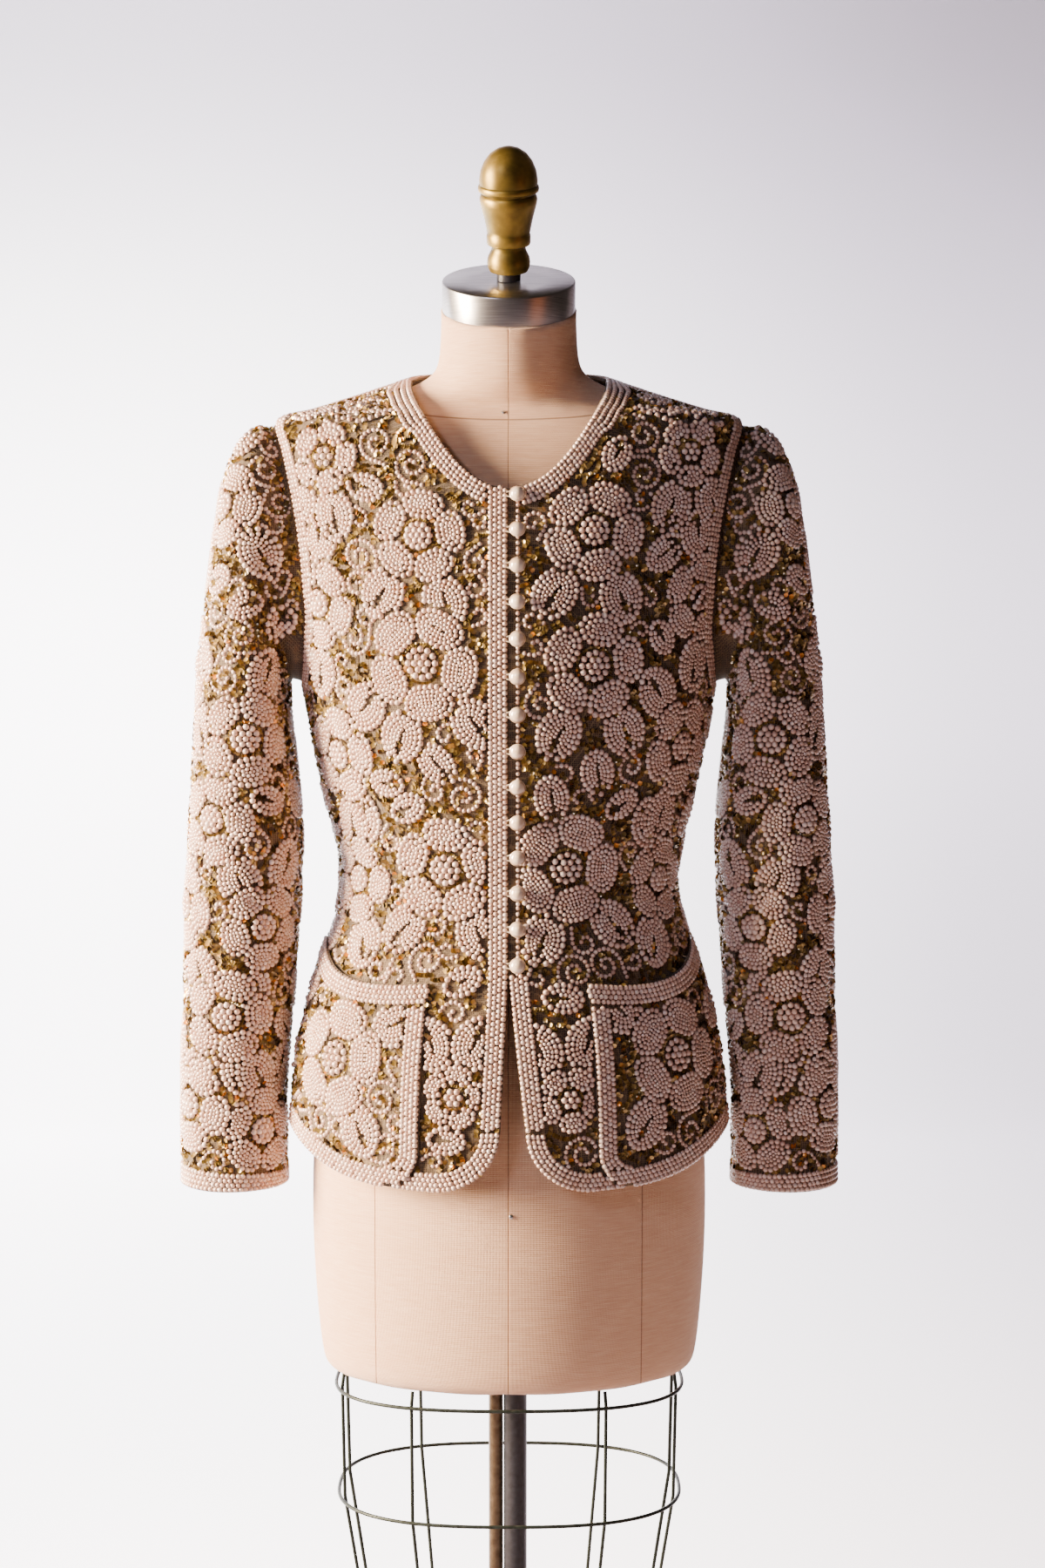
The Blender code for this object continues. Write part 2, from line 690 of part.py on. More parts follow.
def wall_from_grids(name, outer, inner, row_stops, column_stops, finish_name, mirrored):
    """A closed wall from a fine outer grid and a coarse inner one.

    Seen from outside, columns run to the right and rows run up. A mirrored wall is turned over.
    """
    inner = inner[np.ix_(row_stops, column_stops)]
    outer_ids = np.arange(outer.shape[0] * outer.shape[1]).reshape(outer.shape[:2])
    inner_ids = outer_ids.size + np.arange(inner.shape[0] * inner.shape[1]).reshape(inner.shape[:2])
    faces = sheet_faces(outer_ids) + flip(sheet_faces(inner_ids))
    faces += flip(fan_rim(outer_ids[0], inner_ids[0], column_stops))
    faces += fan_rim(outer_ids[-1], inner_ids[-1], column_stops)
    faces += fan_rim(outer_ids[:, 0], inner_ids[:, 0], row_stops)
    faces += flip(fan_rim(outer_ids[:, -1], inner_ids[:, -1], row_stops))
    faces = [tuple(int(corner) for corner in face) for face in faces]
    points = np.concatenate([outer.reshape(-1, 3), inner.reshape(-1, 3)])
    if mirrored:
        faces = flip(faces)
    make_object(name, points, faces, finish_name)


def panel_places(left, right, left_band, right_band, hem):
    """Angle and ring of a panel's grid points, with columns set at real distances from its edges."""
    rows = left.shape[1]
    angles = np.zeros((rows, PANEL_COLUMNS + 1))
    rings = np.zeros((rows, PANEL_COLUMNS + 1))
    share = np.linspace(0.0, 1.0, 121)
    for row in range(rows):
        hold = max(0.0, 1.0 - max(0, row - 2) / (LOWER_ROWS * 0.5))
        angle = left[0, row] + (right[0, row] - left[0, row]) * share
        ring = left[1, row] + (right[1, row] - left[1, row]) * share
        if hold > 0.0:
            bottom_angle = left[0, 0] + (right[0, 0] - left[0, 0]) * share
            bottom = ring_at_height(hem(bottom_angle))
            ends = bottom[0] + (bottom[-1] - bottom[0]) * share
            ring = ring + hold * (bottom - ends)
        points = body_point(angle, ring)
        along = np.concatenate([[0.0], np.cumsum(np.linalg.norm(np.diff(points, axis=0), axis=1))])
        wanted = column_distances(along[-1], left_band, right_band)
        angles[row] = np.interp(wanted, along, angle)
        rings[row] = np.interp(wanted, along, ring)
    return angles, rings


def column_distances(length, left_band, right_band):
    edge = BAND_WIDTH + BAND_STEP
    start = [0.0, BAND_WIDTH] if left_band else []
    end = [length - BAND_WIDTH, length - BAND_ROUND, length] if right_band else []
    low = edge if left_band else 0.0
    high = length - edge if right_band else length
    count = PANEL_COLUMNS + 1 - len(start) - len(end)
    return np.concatenate([start, np.linspace(low, high, count), end])


def step_in(angles, rings, column, direction, rows):
    """Moves one column of a grid into the panel by half of the seam gap, square to its seam."""
    angle, ring = angles[:, column].copy(), rings[:, column].copy()
    points = body_point(angle, ring)
    tangent = np.gradient(points, axis=0)
    side = np.cross(tangent, body_normal(angle, ring))
    side *= direction * (SEAM_GAP / 2) / np.linalg.norm(side, axis=1, keepdims=True)
    ring = np.clip(ring, 0.01, NECK_RING - 0.01)
    by_angle = (body_point(angle + 0.2, ring) - body_point(angle - 0.2, ring)) / 0.4
    by_ring = (body_point(angle, ring + 0.01) - body_point(angle, ring - 0.01)) / 0.02
    for row in rows:
        ways = np.stack([by_angle[row], by_ring[row]], axis=1)
        step = np.linalg.lstsq(ways, side[row], rcond=None)[0]
        angles[row, column] += step[0]
        rings[row, column] += step[1]


def clear_of_shoulder_seam(angles, rings, back):
    """Stops the top row half of the seam gap short of the shoulder's ridge."""
    depth = smooth_rows(BODY_ROWS, rings[-1])[:, 3 if back else 2]
    gap = np.degrees((SEAM_GAP / 2) / depth)
    angles[-1] = 90.0 + gap if back else 90.0 - gap


def pocket_covers(angle, ring):
    """Places under a pocket, where the panel's beadwork stays flat."""
    height = smooth_rows(BODY_ROWS, ring)[..., 0]
    start = POCKET_INNER_ANGLE - PLAIN_BESIDE[0]
    end = POCKET_OUTER_ANGLE + PLAIN_BESIDE[1]
    return (angle > start) & (angle < end) & (height < pocket_top(angle) + PLAIN_ABOVE)


def panel_heights(angles, rings, sign, left_band, right_band, back):
    """Height of the beadwork over a panel's grid: bands at its edges, flowers and leaves inside."""
    raised = body_motifs(angles, rings, sign)
    covered = np.zeros(raised.shape, bool) if back else pocket_covers(angles, rings)
    raised[covered] = 0.0
    band = np.zeros(raised.shape, bool)
    edge = np.zeros(raised.shape, bool)
    band[-2:, :] = True
    edge[-3, :] = True
    band[:2, :] = ~covered[:2, :]
    edge[2, :] = True
    if left_band:
        band[:, :2] = True
        edge[:, 2] = True
    if right_band is not None:
        band[right_band:, -3:] = True
        edge[right_band:, -4] = True
    raised[edge] = 0.0
    raised[band] = BAND_HEIGHT
    if right_band is not None:
        raised[right_band + 1 :, -1] = 0.0
    return raised


def body_panel(name, side, left, right, left_band, right_band, back, hem):
    """One panel of the body: its outer points carry the bands, flowers and leaves."""
    angles, rings = panel_places(left, right, left_band, right_band is not None, hem)
    sign = SIDE_SIGN[side]
    raised = panel_heights(angles, rings, sign, left_band, right_band, back)
    inward = -1.0 if back else 1.0
    rows = range(angles.shape[0])
    if back or not left_band:
        step_in(angles, rings, 0, inward, rows[: LOWER_ROWS + BACK_NECK_ROW + 1] if left_band else rows)
    step_in(angles, rings, -1, -inward, rows if right_band is None else rows[: LOWER_ROWS + 1])
    clear_of_shoulder_seam(angles, rings, back)
    base = body_point(angles, rings)
    normal = body_normal(angles, rings)
    mirror = np.array([sign, 1.0, 1.0])
    outer = (base + normal * raised[..., None]) * mirror
    inner = (base - normal * CLOTH) * mirror
    if back:
        outer, inner = outer[:, ::-1], inner[:, ::-1]
    row_stops = [
        row
        for row in range(outer.shape[0])
        if row % INNER_STRIDE == 0 or WAIST_ROWS[0] < row < WAIST_ROWS[1]
    ]
    column_stops = even_stops(outer.shape[1], INNER_STRIDE)
    wall_from_grids(name, outer, inner, row_stops, column_stops, "beaded_cloth", sign < 0)


def make_body(side):
    armhole_start = LOWER_ROWS
    front_princess = princess_track(False)
    back_princess = princess_track(True)
    body_panel(
        f"front_{side}", side, centre_front_track(side), front_princess, True, None, False, front_hem_height
    )
    body_panel(
        f"side_front_{side}", side, front_princess, side_track(False), False, armhole_start, False, hem_height
    )
    body_panel(f"back_{side}", side, centre_back_track(), back_princess, True, None, True, hem_height)
    body_panel(
        f"side_back_{side}", side, back_princess, side_track(True), False, armhole_start, True, hem_height
    )


# Sleeves


def armhole_ring():
    """The armhole's points and normals, from the shoulder tip down the front and up the back."""
    front = side_track(False)[:, LOWER_ROWS:]
    back = side_track(True)[:, LOWER_ROWS:]
    loop = np.concatenate([front[:, ::-1], back[:, 1:-1]], axis=1)
    points = body_point(loop[0], loop[1])
    normals = body_normal(loop[0], loop[1])
    along = np.roll(points, -1, axis=0) - np.roll(points, 1, axis=0)
    into = np.cross(along, normals)
    into /= np.linalg.norm(into, axis=1, keepdims=True)
    middle = points.mean(axis=0)
    into[((middle - points) * into).sum(axis=1) < 0] *= -1
    return points + into * SLEEVE_GAP, normals, into


def sleeve_ovals(count):
    """Oval rings down the sleeve at the table's rows, after the armhole itself."""
    points, normals, into = armhole_ring()
    turn = np.arange(count) * 2 * math.pi / count
    low = (1.0 - np.cos(turn))[:, None] / 2
    outward = HEAD_OUTWARD[0] + (HEAD_OUTWARD[1] - HEAD_OUTWARD[0]) * low
    inward = HEAD_INTO[0] + (HEAD_INTO[1] - HEAD_INTO[0]) * low
    start = normals * outward + into * inward
    rings = [points, points + start * SLEEVE_HEAD]
    heights = points[:, 2]
    matched = np.arccos(np.clip((2 * heights - heights.max() - heights.min()) / np.ptp(heights), -1, 1))
    matched[count // 2 + 1 :] = 2 * math.pi - matched[count // 2 + 1 :]
    for number, row in enumerate(SLEEVE_ROWS):
        outer_x, outer_z, inner_x, inner_z, half_depth, centre_y = row
        ease = min(1.0, (number + 1) / 5)
        angle = matched * (1 - ease) + turn * ease
        centre = np.array([(outer_x + inner_x) / 2, centre_y, (outer_z + inner_z) / 2])
        reach = np.array([(outer_x - inner_x) / 2, 0.0, (outer_z - inner_z) / 2])
        ring = centre + np.cos(angle)[:, None] * reach
        ring[:, 1] -= half_depth * np.sin(angle)
        rings.append(ring)
    return np.array(rings)


def grid_normals(grid):
    """Normals of a tube's grid, from its neighbours, pointing away from each ring's middle."""
    around = np.roll(grid, -1, axis=1) - np.roll(grid, 1, axis=1)
    along = np.gradient(grid, axis=0)
    normal = np.cross(around, along)
    normal /= np.linalg.norm(normal, axis=-1, keepdims=True)
    outward = grid - grid.mean(axis=1, keepdims=True)
    normal[(normal * outward).sum(axis=-1) < 0] *= -1
    return normal


def sleeve_motifs(grid):
    """Height of the flowers and leaves over a sleeve's grid, measured along its surface."""
    rings, count = grid.shape[:2]
    steps = np.linalg.norm(np.diff(grid, axis=0), axis=-1)
    along = np.concatenate([np.zeros((1, count)), np.cumsum(steps, axis=0)])
    total = along[-1].mean()
    share = along / along[-1]
    girth = np.linalg.norm(grid - np.roll(grid, 1, axis=1), axis=-1).sum(axis=1)
    angle = np.arange(count) * 360.0 / count
    height = np.zeros((rings, count))
    for flower_angle, flower_share, radius, turn, leaf_a, leaf_b in SLEEVE_FLOWERS:
        apart = (angle - flower_angle + 180.0) % 360.0 - 180.0
        around = apart[None, :] / 360.0 * girth[:, None]
        up = (flower_share - share) * total
        found = motif_height(around, up, radius, turn, leaf_a, leaf_b)
        height = np.maximum(height, found)
    return height


def make_sleeve(side):
    sign = SIDE_SIGN[side]
    rows = sleeve_ovals(2 * UPPER_ROWS)
    places = np.linspace(0.0, len(rows) - 1.0, SLEEVE_STEPS * (len(rows) - 1) + 1)
    outer = smooth_rows(rows.reshape(len(rows), -1), places).reshape(len(places), -1, 3)
    armhole_normals = armhole_ring()[1]
    normal = grid_normals(outer)
    normal[0] = armhole_normals
    raised = sleeve_motifs(outer)
    raised[:PLAIN_HEAD_RINGS] = 0.0
    under_arm = slice(int(UPPER_ROWS * PLAIN_UNDERARM[0]), int(UPPER_ROWS * PLAIN_UNDERARM[1]))
    raised[: len(places) // 2, under_arm] = 0.0
    raised[-1 - CUFF_BAND_RINGS :] = BAND_HEIGHT
    inner = outer - normal * CLOTH
    outer = outer + normal * raised[..., None]
    mirror = np.array([sign, 1.0, 1.0])
    make_tube(f"sleeve_{side}", outer * mirror, inner * mirror, sign < 0)


def make_tube(name, outer, inner, mirrored):
    """A closed wall round an open tube, from rings of points with the same count."""
    rings, count = outer.shape[:2]
    outer_ids = np.arange(rings * count).reshape(rings, count)
    outer_ids = np.concatenate([outer_ids, outer_ids[:, :1]], axis=1)
    coarse = even_stops(rings - FINE_HEAD_RINGS, INNER_STRIDE)
    ring_stops = list(range(FINE_HEAD_RINGS)) + [FINE_HEAD_RINGS + stop for stop in coarse]
    count_stops = list(range(0, count + 1, INNER_STRIDE))
    inner = inner[np.ix_(ring_stops, count_stops[:-1])]
    inner_ids = rings * count + np.arange(inner.shape[0] * inner.shape[1]).reshape(inner.shape[:2])
    inner_ids = np.concatenate([inner_ids, inner_ids[:, :1]], axis=1)
    faces = flip(sheet_faces(outer_ids)) + sheet_faces(inner_ids)
    faces += fan_rim(outer_ids[0], inner_ids[0], count_stops)
    faces += flip(fan_rim(outer_ids[-1], inner_ids[-1], count_stops))
    faces = [tuple(int(corner) for corner in face) for face in faces]
    if not mirrored:
        faces = flip(faces)
    points = np.concatenate([outer.reshape(-1, 3), inner.reshape(-1, 3)])
    make_object(name, points, faces, "beaded_cloth")


# Pockets


def pocket_top(angle):
    """The pocket's slanted top edge, low towards the front and curved up to the side seam."""
    share = np.clip((angle - POCKET_INNER_ANGLE) / (POCKET_OUTER_ANGLE - POCKET_INNER_ANGLE), 0.0, 1.0)
    rise = (POCKET_OUTER_TOP - POCKET_INNER_TOP) * share**2.4
    return POCKET_INNER_TOP + rise - POCKET_DIP * np.sin(share * math.pi)


def make_pocket(side):
    sign = SIDE_SIGN[side]
    band = BAND_WIDTH / POCKET_WIDTH
    ground = np.linspace(band + POCKET_SIDE_STEP, 1.0, POCKET_COLUMNS - 1)
    columns = np.concatenate([[0.0, band], ground])
    across = POCKET_INNER_ANGLE + (POCKET_OUTER_ANGLE - POCKET_INNER_ANGLE) * columns
    top = pocket_top(across)
    bottom = hem_height(across) + POCKET_BOTTOM_MARGIN
    corner = np.clip(1.0 - columns * POCKET_WIDTH / POCKET_CORNER, 0.0, 1.0)
    bottom = bottom + POCKET_CORNER * POCKET_CORNER_CLIMB * (1.0 - np.sqrt(1.0 - corner**2))
    tall = top - bottom
    edge = BAND_WIDTH / tall
    rows = [np.zeros_like(tall), edge]
    low = edge * (1.0 + POCKET_BAND_STEP)
    rows += [low + (1.0 - 2 * low) * share for share in np.linspace(0.0, 1.0, POCKET_ROWS - 3)]
    rows += [1.0 - edge, np.ones_like(tall)]
    shares = np.array(rows)
    heights = bottom + tall * shares
    angles = np.broadcast_to(across, heights.shape)
    rings = ring_at_height(heights)
    raised = body_motifs(angles, rings, sign)
    raised[:2] = BAND_HEIGHT
    raised[-2:] = BAND_HEIGHT
    raised[:, :2] = BAND_HEIGHT
    base = body_point(angles, rings)
    normal = body_normal(angles, rings)
    mirror = np.array([sign, 1.0, 1.0])
    outer = (base + normal * (POCKET_LIFT + CLOTH + raised)[..., None]) * mirror
    inner = (base + normal * POCKET_LIFT) * mirror
    row_stops = list(range(outer.shape[0]))
    column_stops = list(range(outer.shape[1]))
    wall_from_grids(f"pocket_{side}", outer, inner, row_stops, column_stops, "beaded_cloth", sign < 0)


# Turned pieces


def turned(name, profile, crown, sides, finish_name, place):
    """A solid of revolution from radius and height pairs, with a flat underside and a pointed top."""
    shape = bmesh.new()
    rings = []
    for radius, height in profile:
        ring = []
        for step in range(sides):
            turn = 2 * math.pi * step / sides
            ring.append(shape.verts.new((radius * math.cos(turn), radius * math.sin(turn), height)))
        rings.append(ring)
    shape.faces.new(list(reversed(rings[0])))
    for low, high in zip(rings[:-1], rings[1:]):
        for step in range(sides):
            after = (step + 1) % sides
            shape.faces.new((low[step], low[after], high[after], high[step]))
    if crown is None:
        shape.faces.new(rings[-1])
    else:
        tip = shape.verts.new((0.0, 0.0, crown))
        for step in range(sides):
            shape.faces.new((rings[-1][step], rings[-1][(step + 1) % sides], tip))
    shape.transform(place)
    mesh = bpy.data.meshes.new(name)
    shape.to_mesh(mesh)
    shape.free()
    mesh.shade_smooth()
    mesh.set_sharp_from_angle(angle=math.radians(TURNED_SHARP_ANGLE))
    mesh.materials.append(finish(finish_name))
    thing = bpy.data.objects.new(name, mesh)
    bpy.context.scene.collection.objects.link(thing)


def in_metres(profile):
    return [(radius * MM, height * MM) for radius, height in profile]


def frame_along(origin, direction):
    turn = Vector((0.0, 0.0, 1.0)).rotation_difference(Vector(direction))
    return Matrix.Translation(origin) @ turn.to_matrix().to_4x4()


def make_buttons():
    """Domed buttons down the wearer's left front edge, evenly spaced along the cloth."""
    rings = straight_rings(BUTTON_TOP, BUTTON_BOTTOM)
    widths = smooth_rows(BODY_ROWS, rings)[:, 1]
    track = np.stack([np.degrees(np.arcsin(BUTTON_X / widths)), rings])
    places = spread(track, lambda length: np.linspace(0.0, length, BUTTON_COUNT))
    points = body_point(places[0], places[1])
    normals = body_normal(places[0], places[1])
    for number, (point, normal) in enumerate(zip(points, normals), start=1):
        seat = point + normal * (BAND_HEIGHT + SEAM_GAP)
        place = frame_along(Vector(seat), Vector(normal))
        turned(
            f"button_{number:02d}", in_metres(BUTTON_PROFILE), BUTTON_CROWN, BUTTON_SIDES, "pearl", place
        )


# Dress form


def form_rows():
    """The form's rings: the torso, the shoulders just under the jacket's, and the neck."""
    rows = [list(row) for row in FORM_ROWS]
    for ring, narrower, lower in FORM_SHOULDER_RINGS:
        height, half_width, front, back, centre_y, lift = smooth_rows(BODY_ROWS, ring)
        rows.append(
            [
                height - SHOULDER_CLEARANCE - lower,
                half_width - narrower,
                front - SHOULDER_INSET_FRONT,
                back - SHOULDER_INSET_BACK,
                centre_y,
                lift,
            ]
        )
    return rows + [list(row) for row in NECK_ROWS]


def make_form():
    rows = form_rows()
    angles = np.arange(FORM_SIDES) * 360.0 / FORM_SIDES
    points = []
    for number in range(len(rows)):
        points.append(oval_point(rows, angles, np.full(FORM_SIDES, float(number))))
    shape = bmesh.new()
    rings = [[shape.verts.new(point) for point in ring] for ring in points]
    for low, high in zip(rings[:-1], rings[1:]):
        for step in range(FORM_SIDES):
            after = (step + 1) % FORM_SIDES
            shape.faces.new((low[step], low[after], high[after], high[step]))
    shape.faces.new(list(reversed(rings[0])))
    shape.faces.new(rings[-1])
    mesh = bpy.data.meshes.new("form_torso")
    shape.to_mesh(mesh)
    shape.free()
    mesh.shade_smooth()
    mesh.set_sharp_from_angle(angle=math.radians(FORM_SHARP_ANGLE))
    mesh.materials.append(finish("linen"))
    thing = bpy.data.objects.new("form_torso", mesh)
    bpy.context.scene.collection.objects.link(thing)
    return points[-1]


def make_neck_top(neck_ring):
    """Steel cap, stem and turned finial, square to the neck's slanted top."""
    centre = neck_ring.mean(axis=0)
    across = neck_ring[FORM_SIDES // 4] - neck_ring[3 * FORM_SIDES // 4]
    along = neck_ring[FORM_SIDES // 2] - neck_ring[0]
    direction = Vector(np.cross(along, across)).normalized()
    direction *= math.copysign(1.0, direction.z)
    seat = Vector(centre) + direction * SEAM_GAP
    place = frame_along(seat, direction)
    cap = [(CAP_RADIUS, 0.0), (CAP_RADIUS, CAP_HEIGHT - CAP_BEVEL), (CAP_RADIUS - CAP_BEVEL, CAP_HEIGHT)]
    turned("neck_cap", cap, None, CAP_SIDES, "steel", place)
    stem_place = frame_along(seat + direction * (CAP_HEIGHT + SEAM_GAP), direction)
    stem = [(FINIAL_STEM_RADIUS, 0.0), (FINIAL_STEM_RADIUS, FINIAL_STEM_HEIGHT)]
    turned("finial_stem", stem, None, POLE_SIDES, "charcoal_paint", stem_place)
    rise = CAP_HEIGHT + FINIAL_STEM_HEIGHT + 2 * SEAM_GAP
    finial_place = frame_along(seat + direction * rise, direction)
    turned("finial", in_metres(FINIAL_PROFILE), FINIAL_TOP, FINIAL_SIDES, "gold", finial_place)


# Stand


def cage_point(half_width, half_depth, turn):
    """A place on a rounded, nearly oblong hoop."""
    power = 2.0 / CAGE_SQUARENESS
    x = half_width * math.copysign(abs(math.sin(turn)) ** power, math.sin(turn))
    y = -half_depth * math.copysign(abs(math.cos(turn)) ** power, math.cos(turn))
    return x, y


def tube_along(name, route, radius, sides, finish_name, closed=False):
    """A round wire along a route of points."""
    route = [Vector(point) for point in route]
    count = len(route)
    shape = bmesh.new()
    rings = []
    for number, point in enumerate(route):
        before = route[(number - 1) % count] if closed or number else point
        after = route[(number + 1) % count] if closed or number < count - 1 else point
        along = (after - before).normalized()
        side = along.cross(Vector((0.0, 0.0, 1.0)))
        if side.length < 0.5:
            side = along.cross(Vector((0.0, 1.0, 0.0)))
        side.normalize()
        other = along.cross(side)
        ring = []
        for step in range(sides):
            turn = 2 * math.pi * step / sides
            ring.append(shape.verts.new(point + radius * (math.cos(turn) * side + math.sin(turn) * other)))
        rings.append(ring)
    pairs = list(zip(rings[:-1], rings[1:]))
    if closed:
        pairs.append((rings[-1], rings[0]))
    for low, high in pairs:
        for step in range(sides):
            after = (step + 1) % sides
            shape.faces.new((low[step], low[after], high[after], high[step]))
    if not closed:
        shape.faces.new(list(reversed(rings[0])))
        shape.faces.new(rings[-1])
    bmesh.ops.recalc_face_normals(shape, faces=shape.faces)
    mesh = bpy.data.meshes.new(name)
    shape.to_mesh(mesh)
    shape.free()
    mesh.shade_smooth()
    mesh.materials.append(finish(finish_name))
    thing = bpy.data.objects.new(name, mesh)
    bpy.context.scene.collection.objects.link(thing)


def make_cage():
    """Three hoops round the pole, and wires that hang from the form inside the hoops."""
    for number, (height, half_width, half_depth) in enumerate(CAGE_RINGS, start=1):
        turns = [2 * math.pi * step / CAGE_RING_STEPS for step in range(CAGE_RING_STEPS)]
        route = [(*cage_point(half_width, half_depth, turn), height) for turn in turns]
        tube_along(f"cage_hoop_{number}", route, WIRE_RADIUS, WIRE_SIDES, "dark_wire", closed=True)
    inset = 2 * WIRE_RADIUS + SEAM_GAP + WIRE_SLACK
    levels = [(FORM_ROWS[0][0] - SEAM_GAP, *CAGE_TOP)] + list(CAGE_RINGS)
    for number, angle in enumerate(CAGE_WIRE_ANGLES, start=1):
        turn = math.radians(angle)
        route = []
        for height, half_width, half_depth in levels:
            route.append((*cage_point(half_width - inset, half_depth - inset, turn), height))
        last = route[-1]
        route[-1] = (last[0], last[1], last[2] - 2 * WIRE_RADIUS)
        tube_along(f"cage_wire_{number}", route, WIRE_RADIUS, WIRE_SIDES, "dark_wire")


def make_stand():
    turned("base", in_metres(BASE_PROFILE), None, BASE_SIDES, "cast_iron", Matrix.Identity(4))
    top = FORM_ROWS[0][0] - SEAM_GAP
    pole = [(POLE_RADIUS, 0.0), (POLE_RADIUS, top - BASE_TOP - SEAM_GAP)]
    pole_place = Matrix.Translation((POLE_X, 0.0, BASE_TOP + SEAM_GAP))
    turned("pole", pole, None, POLE_SIDES, "charcoal_paint", pole_place)
    tube = [(TUBE_RADIUS, 0.0), (TUBE_RADIUS, top - BASE_TOP - SEAM_GAP)]
    tube_place = Matrix.Translation((TUBE_X, TUBE_Y, BASE_TOP + SEAM_GAP))
    turned("inner_tube", tube, None, POLE_SIDES, "bronze_tube", tube_place)


def main():
    clear_scene()
    for side in ("right", "left"):
        make_body(side)
        make_sleeve(side)
        make_pocket(side)
    make_buttons()
    make_neck_top(make_form())
    make_cage()
    make_stand()


main()
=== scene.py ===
"""Pearl-beaded jacket on its linen dress form: the cloth, beadwork, finishes and studio.

Metres, +Z up, in the frame of the part. The front faces -Y, and sides are the wearer's: left is +X.
A place on the jacket's body is an angle (0 centre front, 90 the wearer's left, -90 right) and a ring
number from the hem up. A place on a sleeve is an angle round it (0 outermost, 90 front) and the share
of its length from the armhole.
"""

import math
import random

import bpy
import numpy as np
from mathutils import Matrix, Vector


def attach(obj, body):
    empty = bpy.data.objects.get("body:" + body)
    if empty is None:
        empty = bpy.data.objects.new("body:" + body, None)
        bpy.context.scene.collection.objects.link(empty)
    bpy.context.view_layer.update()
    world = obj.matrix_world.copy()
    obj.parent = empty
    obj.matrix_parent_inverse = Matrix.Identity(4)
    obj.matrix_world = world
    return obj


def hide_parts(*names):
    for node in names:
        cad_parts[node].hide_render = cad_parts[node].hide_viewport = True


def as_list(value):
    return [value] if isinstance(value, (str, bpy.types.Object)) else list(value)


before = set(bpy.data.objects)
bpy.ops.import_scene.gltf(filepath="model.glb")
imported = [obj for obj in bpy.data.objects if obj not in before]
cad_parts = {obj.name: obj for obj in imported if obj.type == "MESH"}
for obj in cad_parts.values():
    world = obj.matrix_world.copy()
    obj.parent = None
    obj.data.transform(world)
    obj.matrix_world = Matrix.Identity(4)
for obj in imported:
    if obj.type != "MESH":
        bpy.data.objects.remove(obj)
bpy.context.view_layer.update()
SEED = 11
random.seed(SEED)
dice = np.random.default_rng(SEED)

MM = 0.001

# Camera: the photograph's viewing angle, a little above the bust and tipped down
CAMERA_PLACE = (0.011, -2.030, 1.180)
CAMERA_TARGET = (0.011, 0.0, 1.0575)
CAMERA_LENS = 57.0
CAMERA_SENSOR = 36.0

# Cloth
CLOTH = 1.6 * MM
SEAM_GAP = 0.3 * MM

# The jacket's body, one row for each ring from the hem to the neck
BODY_ROWS = (
    # height, half_width, front, back, centre_y, back_lift
    (0.735, 0.1785, 0.132, 0.120, 0.000, 0.000),
    (0.790, 0.1770, 0.132, 0.121, 0.000, 0.000),
    (0.850, 0.1710, 0.128, 0.118, 0.000, 0.000),
    (0.905, 0.1570, 0.116, 0.103, 0.000, 0.000),
    (0.950, 0.1415, 0.106, 0.090, 0.000, 0.000),
    (0.985, 0.1365, 0.103, 0.086, 0.000, 0.000),
    (1.025, 0.1435, 0.108, 0.090, 0.000, 0.000),
    (1.075, 0.1555, 0.119, 0.098, 0.000, 0.000),
    (1.130, 0.1650, 0.129, 0.105, 0.000, 0.000),
    (1.180, 0.1730, 0.127, 0.110, 0.000, 0.001),
    (1.235, 0.1820, 0.116, 0.112, 0.000, 0.002),
    (1.285, 0.1880, 0.103, 0.108, 0.001, 0.003),
    (1.325, 0.1900, 0.090, 0.098, 0.003, 0.004),
    (1.352, 0.1870, 0.078, 0.086, 0.005, 0.005),
    (1.361, 0.1580, 0.071, 0.078, 0.006, 0.006),
    (1.371, 0.1260, 0.064, 0.071, 0.007, 0.008),
    (1.380, 0.0980, 0.058, 0.065, 0.007, 0.010),
    (1.386, 0.0790, 0.054, 0.061, 0.008, 0.012),
)
SHOULDER_TIP_RING = 13
NECK_RING = len(BODY_ROWS) - 1

# Cut lines
FRONT_HEM = 0.747
SIDE_HEM = 0.785
BACK_HEM = 0.766
HEM_CURVE = 5
FRONT_CORNER_RADIUS = 0.052
FRONT_CORNER_CLIMB = 0.92
FRONT_OPENING = {"right": 0.009, "left": 0.019}
OPENING_TOP = 0.915
OPENING_CURVE = 1.1
UNDERARM_HEIGHT = 1.140
NECK_SIDE_X = 0.079
NECK_FRONT_HEIGHT = 1.296
NECK_ROUNDNESS = 1.9
PRINCESS_ANGLE = 44.0
PRINCESS_SHOULDER_X = 0.120
ARMHOLE_SWEEP = {"front": 26.0, "back": 25.0}
ARMHOLE_FULLNESS = 0.85

# Grid of a panel's cloth
LOWER_ROWS = 34
UPPER_ROWS = 22
PANEL_COLUMNS = 22

